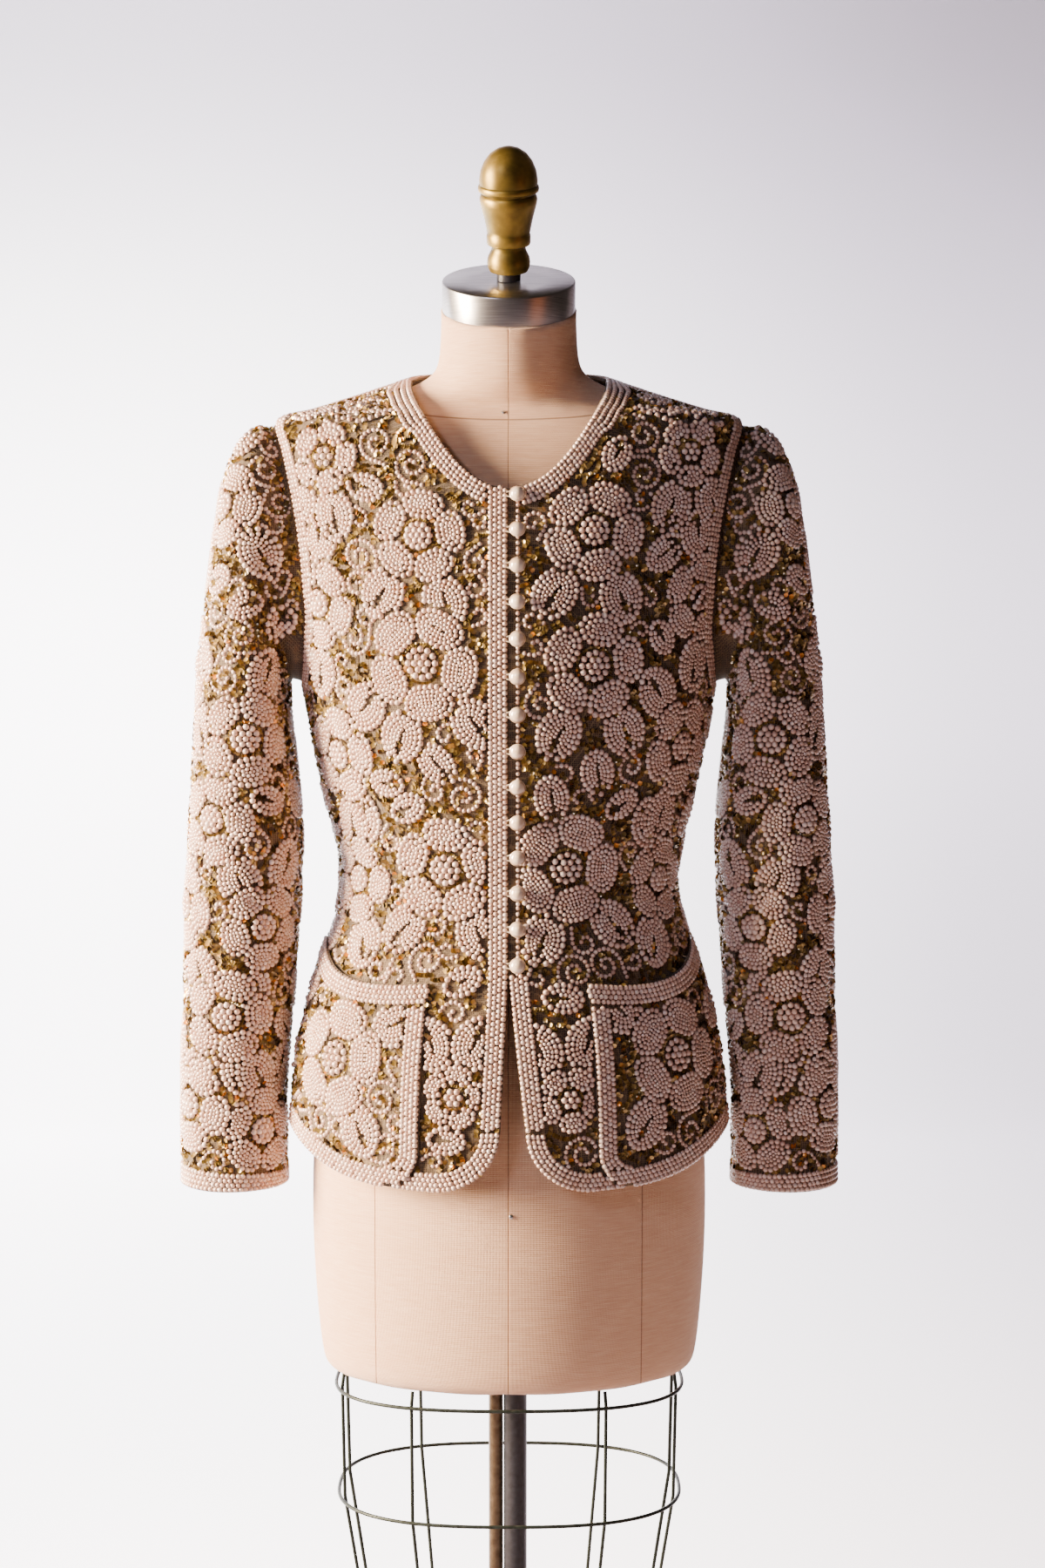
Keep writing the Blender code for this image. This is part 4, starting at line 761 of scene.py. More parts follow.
def paper_finish():
    """Seamless paper glowing with painted light behind the form: matte and very pale, with painted shade that
    dims its glow and greys its colour to the right and at the top.
    """
    material, tree, shader = new_finish("seamless_paper", {"Roughness": 0.95})
    place = node(tree, "ShaderNodeTexCoord")
    axes = node(tree, "ShaderNodeSeparateXYZ", None, {"Vector": place.outputs["Object"]})
    glow = None
    for axis, *span in PAINTED_GLOW_FADES:
        settings = {"interpolation_type": "SMOOTHSTEP", **dict(enumerate(span, start=1))}
        fade = node(tree, "ShaderNodeMapRange", settings, {0: axes.outputs[axis]}).outputs[0]
        if glow is not None:
            fade = node(tree, "ShaderNodeMath", {"operation": "MULTIPLY"}, {0: glow, 1: fade}).outputs[0]
        glow = fade
    # Painted light: the paper's glow, which also lights the form; painted shade: its colour greys towards
    # lavender where the glow is low
    strength = node(tree, "ShaderNodeMath", {"operation": "MULTIPLY", 1: BACKDROP_GLOW}, {0: glow})
    colour = ramp(tree, glow, ((0.02, "#C9BFCB"), (0.12, "#E6DCEE"), (0.6, "#FAF6F8")))
    tree.links.new(colour, shader.inputs["Base Color"])
    tree.links.new(colour, shader.inputs["Emission Color"])
    tree.links.new(strength.outputs[0], shader.inputs["Emission Strength"])
    return material


FINISH = {
    "pearl": pearl_finish(),
    "button": button_finish(),
    "sequin": sequin_finish(),
    "net": net_finish(),
    "linen": linen_finish(),
    "steel": steel_finish(),
    "gold": gold_finish(),
    "charcoal": painted_finish("charcoal_enamel", "#1B1B20", "#2A2A31", 0.42, 0.0, 220.0, 0.05 * MM),
    "bronze": painted_finish("bronze_lacquer", "#5A4C3C", "#7E6C56", 0.34, 0.75, 120.0, 0.03 * MM),
    "wire": painted_finish("oxide_blacked_wire", "#20261F", "#39413A", 0.46, 0.55, 260.0, 0.08 * MM),
    "iron": painted_finish("painted_cast_iron", "#18191B", "#2B2C2E", 0.58, 0.2, 320.0, 0.20 * MM),
    "thread": thread_finish(),
    "backdrop_paper": paper_finish(),
}


# The body's surface


def smooth_rows(rows, place):
    """A smooth curve through the rows of a table, read at the row numbers in place."""
    table = np.asarray(rows, float)
    place = np.clip(np.asarray(place, float), 0.0, len(table) - 1.0)
    low = np.minimum(place.astype(int), len(table) - 2)
    share = (place - low)[..., None]
    slopes = np.gradient(table, axis=0)
    start, end = table[low], table[low + 1]
    out, into = slopes[low], slopes[low + 1]
    square, cube = share**2, share**3
    return (
        (2 * cube - 3 * square + 1) * start
        + (cube - 2 * square + share) * out
        + (3 * square - 2 * cube) * end
        + (cube - square) * into
    )


def unit(vectors, least=0.0):
    """Vectors made one long."""
    return vectors / np.maximum(np.linalg.norm(vectors, axis=-1, keepdims=True), least)


def lengths_along(points):
    """The length from the first of the points to each of them."""
    return np.concatenate([[0.0], np.cumsum(np.linalg.norm(np.diff(points, axis=0), axis=1))])


def route_lengths(route):
    """The same along a flat route of offsets."""
    return np.concatenate([[0.0], np.cumsum(np.hypot(*np.diff(route, axis=1)))])


# Every ring that is read, and the shares at which a track is read
DENSE_RINGS = np.linspace(0.0, NECK_RING, 1701)
DENSE_BODY = smooth_rows(BODY_ROWS, DENSE_RINGS)
DENSE = np.linspace(0.0, 1.0, 241)


def body_rows(ring):
    """Rows of the body's table at ring numbers."""
    place = np.clip(np.asarray(ring, float), 0.0, NECK_RING) * (len(DENSE_RINGS) - 1) / NECK_RING
    low = np.minimum(place.astype(int), len(DENSE_RINGS) - 2)
    share = (place - low)[..., None]
    return DENSE_BODY[low] * (1.0 - share) + DENSE_BODY[low + 1] * share


def ring_at_height(height):
    return np.interp(height, DENSE_BODY[:, 0], DENSE_RINGS)


def height_at_ring(ring):
    return np.interp(ring, DENSE_RINGS, DENSE_BODY[:, 0])


def width_at_ring(ring):
    return np.interp(ring, DENSE_RINGS, DENSE_BODY[:, 1])


def body_point(angle, ring):
    """Points on the stack of tilted ovals, angles in degrees."""
    height, half_width, front, back, centre_y, lift = np.moveaxis(body_rows(ring), -1, 0)
    turn = np.radians(angle)
    depth = np.where(np.cos(turn) > 0, front, back)
    x = half_width * np.sin(turn)
    y = centre_y - depth * np.cos(turn)
    return np.stack([x, y, height - lift * np.cos(turn)], axis=-1)


ANGLE_STEP = 0.2
RING_STEP = 0.01


def body_ways(angle, ring):
    """How a place moves for a degree round the body and for a ring up it."""
    ring = np.clip(ring, RING_STEP, NECK_RING - RING_STEP)
    across = (body_point(angle + ANGLE_STEP, ring) - body_point(angle - ANGLE_STEP, ring)) / (2 * ANGLE_STEP)
    up = (body_point(angle, ring + RING_STEP) - body_point(angle, ring - RING_STEP)) / (2 * RING_STEP)
    return across, up


def body_normal(angle, ring):
    across, up = body_ways(np.asarray(angle, float), np.asarray(ring, float))
    return unit(np.cross(across, up))


RIDGE_SHARE = 0.55
RIDGE_SPREAD = 5.0


def crease_depth(around, up, direction, half_length, half_width, depth):
    """A soft trough, deepest in its middle, with a slight ridge on either side."""
    turn = math.radians(direction)
    along = around * math.sin(turn) + up * math.cos(turn)
    aside = around * math.cos(turn) - up * math.sin(turn)
    fade = np.exp(-((along / half_length) ** 2))
    near = (aside / half_width) ** 2
    return depth * fade * (np.exp(-near) - RIDGE_SHARE * np.exp(-near / RIDGE_SPREAD))


# Lengths up the body are measured halfway between its front and its side
PROFILE_ANGLE = 45.0
PROFILE_LENGTH = lengths_along(body_point(np.full(len(DENSE_RINGS), PROFILE_ANGLE), DENSE_RINGS))
CREASE_STARTS = tuple(
    (angle, float(np.interp(height, DENSE_BODY[:, 0], PROFILE_LENGTH)), crease)
    for angle, height, *crease in BODY_CREASES
)
CREASE_REACH = 0.15


def body_seat(places):
    """Points and normals of the creased cloth at places on the body."""
    angle, ring = places[:, 0], places[:, 1]
    point, normal = body_point(angle, ring), body_normal(angle, ring)
    row = body_rows(ring)
    length = np.interp(ring, DENSE_RINGS, PROFILE_LENGTH)
    sunk = np.zeros(len(places))
    for centre, start, crease in CREASE_STARTS:
        up = length - start
        near = np.flatnonzero(np.abs(up) < CREASE_REACH)
        if not len(near):
            continue
        middle = np.radians((angle[near] + centre) / 2)
        depth = np.where(np.cos(middle) > 0, row[near, 2], row[near, 3])
        speed = np.hypot(row[near, 1] * np.cos(middle), depth * np.sin(middle))
        around = np.radians(angle[near] - centre) * speed
        pressed = crease_depth(around, up[near], *crease)
        sunk[near] += np.where(np.abs(around) < CREASE_REACH, pressed, 0.0)
    return point - normal * sunk[:, None], normal


def body_step(places, around, up):
    """Places moved by lengths round and up the body."""
    moved = np.array(places, float)
    length = np.interp(moved[:, 1], DENSE_RINGS, PROFILE_LENGTH)
    moved[:, 1] = np.interp(length + up, PROFILE_LENGTH, DENSE_RINGS)
    for _ in range(2):
        middle = (places[:, 0] + moved[:, 0]) / 2
        across = body_ways(middle, moved[:, 1])[0]
        moved[:, 0] = places[:, 0] + around / np.linalg.norm(across, axis=1)
    return moved


# Cut lines of the body


def hem_height(angle):
    """The hem dips in front and behind, and rises over the hips."""
    turn = np.radians(angle)
    low = np.where(np.cos(turn) > 0, FRONT_HEM, BACK_HEM)
    return low + (SIDE_HEM - low) * np.abs(np.sin(turn)) ** HEM_CURVE


def front_edge_x(side, height):
    """The front edge stands straight to the last button and swings away below it."""
    drop = np.clip((OPENING_TOP - height) / (OPENING_TOP - FRONT_HEM), 0.0, 1.0)
    return SEAM_GAP / 2 + FRONT_OPENING[side] * drop**OPENING_CURVE


CORNER_TOP = FRONT_HEM + FRONT_CORNER_RADIUS * FRONT_CORNER_CLIMB


def front_hem_height(angle, side):
    """The hem with the rounded corner at the front edge."""
    x = np.abs(body_point(angle, ring_at_height(FRONT_HEM))[..., 0])
    inside = np.clip(1.0 - (x - front_edge_x(side, CORNER_TOP)) / FRONT_CORNER_RADIUS, 0.0, 1.0)
    climb = FRONT_CORNER_RADIUS * FRONT_CORNER_CLIMB * (1.0 - np.sqrt(1.0 - inside**2))
    return hem_height(angle) + climb


def angle_at_x(x, ring):
    return np.degrees(np.arcsin(np.clip(x / width_at_ring(ring), 0.0, 1.0)))


def rings_between(low, high):
    return ring_at_height(low + (high - low) * DENSE)


def upright(angle, rings):
    """A track straight up the body."""
    return np.stack([np.full(len(rings), float(angle)), rings])


def front_edge_track(side, low, high):
    rings = rings_between(low, high)
    return np.stack([angle_at_x(front_edge_x(side, height_at_ring(rings)), rings), rings])


def front_neck_track(side):
    turn = DENSE * math.pi / 2
    heights = BODY_ROWS[-1][0] - (BODY_ROWS[-1][0] - NECK_FRONT_HEIGHT) * np.cos(turn) ** NECK_ROUNDNESS
    rings = ring_at_height(heights)
    x = np.maximum(NECK_SIDE_X * np.sin(turn), front_edge_x(side, heights))
    return np.stack([angle_at_x(x, rings), rings])


def back_neck_track():
    return np.stack([180.0 - 90.0 * DENSE, np.full(len(DENSE), float(NECK_RING))])


def armhole_track(back):
    """The armhole from the underarm to the shoulder tip."""
    around = np.pi * DENSE
    sweep = ARMHOLE_SWEEP["back" if back else "front"]
    angles = 90.0 - sweep * np.sin(around) ** ARMHOLE_FULLNESS
    top = BODY_ROWS[SHOULDER_TIP_RING][0]
    heights = (top + UNDERARM_HEIGHT) / 2 - (top - UNDERARM_HEIGHT) / 2 * np.cos(around)
    return np.stack([180.0 - angles if back else angles, ring_at_height(heights)])


# The rounded corner starts beyond this angle on either side
HEM_END_ANGLE = 24.0


def hem_track(side):
    """From the centre back round the hem, the rounded corner included, to the front edge."""
    angles = np.linspace(180.0, HEM_END_ANGLE, 500)
    back_and_side = np.stack([angles, ring_at_height(hem_height(angles))])
    turn = np.linspace(math.pi / 2, 0.0, 120)
    x = front_edge_x(side, CORNER_TOP) + FRONT_CORNER_RADIUS * (1.0 - np.cos(turn))
    climb = FRONT_CORNER_RADIUS * FRONT_CORNER_CLIMB * (1.0 - np.sin(turn))
    rings = ring_at_height(FRONT_HEM + climb)
    corner = np.stack([angle_at_x(x, rings), rings])
    return np.concatenate([back_and_side[:, angles > corner[0, 0]], corner], axis=1)


def spread(track, wanted):
    """Angles and rings along a dense track at lengths worked out from its whole length."""
    along = lengths_along(body_point(track[0], track[1]))
    lengths = wanted(along[-1])
    return np.stack([np.interp(lengths, along, track[0]), np.interp(lengths, along, track[1])])


def even(count):
    return lambda length: np.linspace(0.0, length, count + 1)


def join_tracks(*parts):
    joined = spread(parts[0][0], even(parts[0][1]))
    for track, count in parts[1:]:
        joined = np.concatenate([joined, spread(track, even(count))[:, 1:]], axis=1)
    return joined


# The row of the upper grid at which each centre line turns into the neckline
FRONT_NECK_ROW = 9
BACK_NECK_ROW = 13


def centre_front_line(side):
    return join_tracks(
        (front_edge_track(side, CORNER_TOP, UNDERARM_HEIGHT), LOWER_ROWS),
        (front_edge_track(side, UNDERARM_HEIGHT, NECK_FRONT_HEIGHT), FRONT_NECK_ROW),
        (front_neck_track(side), UPPER_ROWS - FRONT_NECK_ROW),
    )


def centre_back_line():
    low = rings_between(BACK_HEM, UNDERARM_HEIGHT)
    start = float(ring_at_height(UNDERARM_HEIGHT))
    high = start + (NECK_RING - start) * DENSE
    return join_tracks(
        (upright(180.0, low), LOWER_ROWS),
        (upright(180.0, high), BACK_NECK_ROW),
        (back_neck_track(), UPPER_ROWS - BACK_NECK_ROW),
    )


def princess_line(back):
    hem = float(hem_height(180.0 - PRINCESS_ANGLE if back else PRINCESS_ANGLE))
    low = rings_between(hem, UNDERARM_HEIGHT)
    above = DENSE_RINGS >= SHOULDER_TIP_RING
    top = float(np.interp(-PRINCESS_SHOULDER_X, -DENSE_BODY[above, 1], DENSE_RINGS[above]))
    start = float(ring_at_height(UNDERARM_HEIGHT))
    high = start + (top - start) * np.sin(DENSE * math.pi / 2)
    start_x = float(width_at_ring(start)) * math.sin(math.radians(PRINCESS_ANGLE))
    angles = angle_at_x(start_x + (PRINCESS_SHOULDER_X - start_x) * DENSE, high)
    angles[-1] = 90.0
    line = join_tracks((upright(PRINCESS_ANGLE, low), LOWER_ROWS), (np.stack([angles, high]), UPPER_ROWS))
    if back:
        line[0] = 180.0 - line[0]
    return line


def side_line(back):
    low = rings_between(SIDE_HEM, UNDERARM_HEIGHT)
    return join_tracks((upright(90.0, low), LOWER_ROWS), (armhole_track(back), UPPER_ROWS))


# Cloth


def forget_selection():
    bpy.ops.object.select_all(action="DESELECT")


def mesh_piece(name, points, faces, finish_name, smooth=True):
    """A piece from its points and faces, in place."""
    mesh = bpy.data.meshes.new(name)
    mesh.from_pydata([tuple(point) for point in points], [], faces)
    if smooth:
        mesh.shade_smooth()
    mesh.materials.append(FINISH[finish_name])
    piece = bpy.data.objects.new(name, mesh)
    bpy.context.scene.collection.objects.link(piece)
    return piece


def wall_faces(rows, columns, closed):
    """Faces of a thin wall: its outer grid first, then the inner one, then the rims."""
    across = columns if closed else columns - 1
    inner = rows * columns
    faces = []
    for row in range(rows - 1):
        for column in range(across):
            beside = (column + 1) % columns
            near, right = row * columns + column, row * columns + beside
            above, corner = near + columns, right + columns
            faces.append((near, right, corner, above))
            faces.append((inner + near, inner + above, inner + corner, inner + right))
    for column in range(across):
        beside = (column + 1) % columns
        last = (rows - 1) * columns
        faces.append((column, inner + column, inner + beside, beside))
        faces.append((last + column, last + beside, inner + last + beside, inner + last + column))
    if not closed:
        for row in range(rows - 1):
            near, above = row * columns, (row + 1) * columns
            faces.append((near, above, inner + above, inner + near))
            near, above = near + columns - 1, above + columns - 1
            faces.append((near, inner + near, inner + above, above))
    return faces


def grid_area(grid, closed=False):
    """Area of a grid of points and its greatest width and length, for the cut size of its cloth."""
    if closed:
        grid = np.concatenate([grid, grid[:, :1]], axis=1)
    across = np.diff(grid, axis=1)
    up = np.diff(grid, axis=0)
    cells = np.cross(across[:-1], up[:, :-1])
    more = np.cross(across[1:], up[:, 1:])
    area = (np.linalg.norm(cells, axis=-1) + np.linalg.norm(more, axis=-1)).sum() / 2
    width = np.linalg.norm(across, axis=-1).sum(axis=1).max()
    length = np.linalg.norm(up, axis=-1).sum(axis=0).max()
    return area, max(width, area / length), length


CLOTH_CUTS = []


def cloth_wall(node_name, outer, inner, closed, turned_over, rests_on):
    """A cloth piece from two grids, that stands for its solid; the size of its cut is noted in a list."""
    faces = wall_faces(*outer.shape[:2], closed)
    if turned_over:
        faces = [tuple(reversed(face)) for face in faces]
    points = np.concatenate([outer.reshape(-1, 3), inner.reshape(-1, 3)])
    piece = mesh_piece(f"cloth_{node_name}", points, faces, "net")
    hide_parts(node_name)
    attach(piece, "root")
    area, width, length = grid_area(outer, closed)
    CLOTH_CUTS.append((piece, (round(width, 4), round(length, 4)), round(area, 5), rests_on))
    return piece


# The hem's curve fades out of a panel's rows over this share of the lower ones
HEM_HOLD = 0.5
# A seam gap on the shoulder is turned into an angle at this radius
SHOULDER_RADIUS = 0.13


def panel_grid(left, right, hem):
    """Places of a panel's grid between its two lines, with its lowest row on the hem."""
    share = DENSE
    rows = []
    for row in range(left.shape[1]):
        hold = max(0.0, 1.0 - row / (LOWER_ROWS * HEM_HOLD))
        angle = left[0, row] + (right[0, row] - left[0, row]) * share
        ring = left[1, row] + (right[1, row] - left[1, row]) * share
        bottom_angle = left[0, 0] + (right[0, 0] - left[0, 0]) * share
        bottom = ring_at_height(hem(bottom_angle))
        ring = ring + hold * (bottom - (bottom[0] + (bottom[-1] - bottom[0]) * share))
        rows.append(spread(np.stack([angle, ring]), even(PANEL_COLUMNS)).T)
    return np.array(rows)


def seam_allowance(grid, column, way):
    """Moves a seam's column of places half of the seam gap into its panel."""
    step = np.full(len(grid), way * SEAM_GAP / 2)
    across = body_ways(grid[:, column, 0], grid[:, column, 1])[0]
    grid[:, column, 0] += step / np.linalg.norm(across, axis=1)


def make_panels():
    for side, sign in SIDES.items():
        lines = {
            "front": (centre_front_line(side), princess_line(False)),
            "side_front": (princess_line(False), side_line(False)),
            "back": (centre_back_line(), princess_line(True)),
            "side_back": (princess_line(True), side_line(True)),
        }
        for panel, (left, right) in lines.items():
            back = panel in ("back", "side_back")
            hem = (lambda angle: front_hem_height(angle, side)) if panel == "front" else hem_height
            grid = panel_grid(left, right, hem)
            inward = -1.0 if back else 1.0
            if panel != "front":
                seam_allowance(grid, 0, inward)
            seam_allowance(grid, -1, -inward)
            grid[-1, :, 0] += -inward * np.degrees(SEAM_GAP / SHOULDER_RADIUS)
            grid[..., 0] *= sign
            point, normal = body_seat(grid.reshape(-1, 2))
            outer = point.reshape(*grid.shape[:2], 3)
            inner = (point - normal * CLOTH).reshape(*grid.shape[:2], 3)
            cloth_wall(f"{panel}_{side}", outer, inner, False, (sign < 0) != back, ["form_cover"])


# Sleeves


# The head's rings, over which the armhole's shape eases into the plain ovals
HEAD_EASE = 5


def sleeve_table():
    """Rings of the sleeve from the armhole down, as in the part: the armhole, the head and the ovals."""
    front = spread(armhole_track(False), upper_places)
    back = spread(armhole_track(True), upper_places)
    loop = np.concatenate([front[:, ::-1], back[:, 1:-1]], axis=1)
    points, normals = body_point(loop[0], loop[1]), body_normal(loop[0], loop[1])
    into = np.cross(np.roll(points, -1, axis=0) - np.roll(points, 1, axis=0), normals)
    into = unit(into)
    into[((points.mean(axis=0) - points) * into).sum(axis=1) < 0] *= -1
    points = points + into * SLEEVE_GAP
    count = 2 * SLEEVE_HALF_COUNT
    turn = np.arange(count) * 2 * math.pi / count
    low = (1.0 - np.cos(turn))[:, None] / 2
    outward = HEAD_OUTWARD[0] + (HEAD_OUTWARD[1] - HEAD_OUTWARD[0]) * low
    inward = HEAD_INTO[0] + (HEAD_INTO[1] - HEAD_INTO[0]) * low
    rings = [points, points + (normals * outward + into * inward) * SLEEVE_HEAD]
    heights = points[:, 2]
    matched = np.arccos(np.clip((2 * heights - heights.max() - heights.min()) / np.ptp(heights), -1, 1))
    matched[count // 2 + 1 :] = 2 * math.pi - matched[count // 2 + 1 :]
    for number, (outer_x, outer_z, inner_x, inner_z, half_depth, centre_y) in enumerate(SLEEVE_ROWS):
        ease = min(1.0, (number + 1) / HEAD_EASE)
        angle = matched * (1 - ease) + turn * ease
        centre = np.array([(outer_x + inner_x) / 2, centre_y, (outer_z + inner_z) / 2])
        reach = np.array([(outer_x - inner_x) / 2, 0.0, (outer_z - inner_z) / 2])
        ring = centre + np.cos(angle)[:, None] * reach
        ring[:, 1] -= half_depth * np.sin(angle)
        rings.append(ring)
    return np.array(rings)


SHOULDER_BAND = 11.0 * MM
BAND_STEP = 3.0 * MM


def upper_places(length):
    """Row places along the armhole, as in the part."""
    rest = np.linspace(0.0, length - SHOULDER_BAND - BAND_STEP, SLEEVE_HALF_COUNT - 1)
    return np.concatenate([rest, [length - SHOULDER_BAND, length]])


def refine_round(grid, count):
    """A ringed grid read at more places round each ring, smoothly."""
    wrapped = np.concatenate([grid[:, -2:], grid, grid[:, :3]], axis=1)
    place = 2.0 + np.arange(count) * grid.shape[1] / count
    turned_grid = np.moveaxis(wrapped, 1, 0)
    flat = smooth_rows(turned_grid.reshape(len(turned_grid), -1), place)
    return np.moveaxis(flat.reshape(count, grid.shape[0], 3), 0, 1)


def grid_normals(grid):
    """Normals of a tube's grid, pointing away from each ring's middle."""
    around = np.roll(grid, -1, axis=1) - np.roll(grid, 1, axis=1)
    normal = unit(np.cross(around, np.gradient(grid, axis=0)))
    outward = grid - grid.mean(axis=1, keepdims=True)
    normal[(normal * outward).sum(axis=-1) < 0] *= -1
    return normal


SLEEVE_READINGS = 261


def make_sleeve_ground():
    """The left sleeve's surface at even shares of its length, with its normals and its length."""
    rings = sleeve_table()
    dense = smooth_rows(rings.reshape(len(rings), -1), np.linspace(0.0, len(rings) - 1.0, SLEEVE_READINGS))
    dense = refine_round(dense.reshape(SLEEVE_READINGS, -1, 3), 2 * SLEEVE_COLUMNS)
    steps = np.linalg.norm(np.diff(dense, axis=0), axis=-1)
    along = np.concatenate([np.zeros((1, dense.shape[1])), np.cumsum(steps, axis=0)])
    total = along[-1].mean()
    shares = np.linspace(0.0, 1.0, 2 * SLEEVE_RINGS + 1)
    even_grid = np.zeros((len(shares), dense.shape[1], 3))
    for column in range(dense.shape[1]):
        for axis in range(3):
            wanted = shares * along[-1, column]
            even_grid[:, column, axis] = np.interp(wanted, along[:, column], dense[:, column, axis])
    girth = np.linalg.norm(even_grid - np.roll(even_grid, 1, axis=1), axis=-1).sum(axis=1)
    normal = grid_normals(even_grid)
    angle = np.arange(dense.shape[1]) * 360.0 / dense.shape[1]
    for centre, share, *crease in SLEEVE_CREASES:
        apart = (angle - centre + 180.0) % 360.0 - 180.0
        around = apart[None, :] / 360.0 * girth[:, None]
        up = np.broadcast_to(((share - shares) * total)[:, None], around.shape)
        even_grid -= normal * crease_depth(around, up, *crease)[..., None]
    return even_grid, grid_normals(even_grid), total


SLEEVE_GRID, SLEEVE_NORMALS, SLEEVE_LENGTH = make_sleeve_ground()
# How the sleeve's surface runs for a degree round it and for its whole length down it
SLEEVE_ROUND = (np.roll(SLEEVE_GRID, -1, axis=1) - np.roll(SLEEVE_GRID, 1, axis=1)) * SLEEVE_COLUMNS / 360.0
SLEEVE_DOWN = np.gradient(SLEEVE_GRID, axis=0) * (SLEEVE_GRID.shape[0] - 1)
SLEEVE_WALK = 4


def sleeve_read(places, *grids):
    """Values of grids over the sleeve at places on it."""
    column = (places[:, 0] % 360.0) / 360.0 * SLEEVE_GRID.shape[1]
    row = np.clip(places[:, 1], 0.0, 1.0) * (SLEEVE_GRID.shape[0] - 1)
    left = column.astype(int) % SLEEVE_GRID.shape[1]
    low = np.minimum(row.astype(int), SLEEVE_GRID.shape[0] - 2)
    right = (left + 1) % SLEEVE_GRID.shape[1]
    aside, above = (column % 1.0)[:, None], (row - low)[:, None]
    found = []
    for grid in grids:
        bottom = grid[low, left] * (1 - aside) + grid[low, right] * aside
        top = grid[low + 1, left] * (1 - aside) + grid[low + 1, right] * aside
        found.append(bottom * (1 - above) + top * above)
    return found


def sleeve_seat(places):
    """Points and normals of the left sleeve's creased cloth."""
    point, normal = sleeve_read(places, SLEEVE_GRID, SLEEVE_NORMALS)
    return point, unit(normal)


def sleeve_step(places, around, up):
    """Places moved by lengths round and up the sleeve, in a few straight steps over its slanted grid."""
    moved = np.array(places, float)
    for _ in range(SLEEVE_WALK):
        round_way, down_way = sleeve_read(moved, SLEEVE_ROUND, SLEEVE_DOWN)
        down_speed = np.linalg.norm(down_way, axis=1)
        lean = -(round_way * down_way).sum(axis=1) / down_speed
        round_speed = np.sqrt(np.maximum((round_way**2).sum(axis=1) - lean**2, 1e-12))
        turn = around / SLEEVE_WALK / round_speed
        moved[:, 0] += turn
        moved[:, 1] += (lean * turn - up / SLEEVE_WALK) / down_speed
        moved[:, 1] = np.clip(moved[:, 1], 0.0, 1.0)
    return moved


def make_sleeves():
    outer = SLEEVE_GRID[::2, ::2]
    inner = (SLEEVE_GRID - SLEEVE_NORMALS * CLOTH)[::2, ::2]
    for side, sign in SIDES.items():
        mirror = np.array([sign, 1.0, 1.0])
        rests_on = [f"cloth_side_front_{side}"]
        cloth_wall(f"sleeve_{side}", outer * mirror, inner * mirror, True, sign > 0, rests_on)


# Pockets


def pocket_share(angle):
    return (angle - POCKET_INNER_ANGLE) / (POCKET_OUTER_ANGLE - POCKET_INNER_ANGLE)


def pocket_angle(share):
    return POCKET_INNER_ANGLE + (POCKET_OUTER_ANGLE - POCKET_INNER_ANGLE) * share


def pocket_top(angle):
    """The pocket's slanted top edge, low towards the front and curved up to the side seam."""
    share = np.clip(pocket_share(angle), 0.0, 1.0)
    rise = (POCKET_OUTER_TOP - POCKET_INNER_TOP) * share**POCKET_CURVE
    return POCKET_INNER_TOP + rise - POCKET_DIP * np.sin(share * math.pi)


def pocket_bottom(angle):
    """The pocket's lower edge on the hem, rounded at its inner corner."""
    inside = np.clip(1.0 - pocket_share(angle) * POCKET_WIDTH / POCKET_CORNER, 0.0, 1.0)
    climb = POCKET_CORNER * FRONT_CORNER_CLIMB * (1.0 - np.sqrt(1.0 - inside**2))
    return hem_height(angle) + POCKET_BOTTOM_MARGIN + climb


def pocket_gape(angle, height):
    """How far the pocket's mouth stands off the body, most in its middle and none lower down."""
    share = np.clip(pocket_share(angle), 0.0, 1.0)
    below = np.clip((pocket_top(angle) - height) / POCKET_GAPE_DEPTH, 0.0, 1.0)
    return POCKET_GAPE * np.sin(share * math.pi) * (1.0 - below) ** 2


def make_pockets():
    angle = pocket_angle(np.linspace(0.0, 1.0, POCKET_COLUMNS) ** POCKET_CROWDING)
    top, bottom = pocket_top(angle), pocket_bottom(angle)
    heights = bottom + (top - bottom) * np.linspace(0.0, 1.0, POCKET_ROWS)[:, None]
    angles = np.broadcast_to(angle, heights.shape)
    lift = POCKET_LIFT + pocket_gape(angles, heights)
    for side, sign in SIDES.items():
        places = np.stack([sign * angles, ring_at_height(heights)], axis=-1)
        point, normal = body_seat(places.reshape(-1, 2))
        point, normal = point.reshape(*heights.shape, 3), normal.reshape(*heights.shape, 3)
        outer = point + normal * (lift + CLOTH)[..., None]
        inner = point + normal * lift[..., None]
        cloth_wall(f"pocket_{side}", outer, inner, False, sign < 0, [f"cloth_front_{side}"])


# Beadwork

CELL = 5.0 * MM
WIDEST_BEAD = 2.4 * MM
# Shares of its radius that a bead keeps clear: of any other, on a boss, in a band, and when room is sought
CLOSENESS = 0.81
BOSS_CLOSENESS = 0.8
BAND_CLOSENESS = 0.78
ROOM_CLOSENESS = 0.86


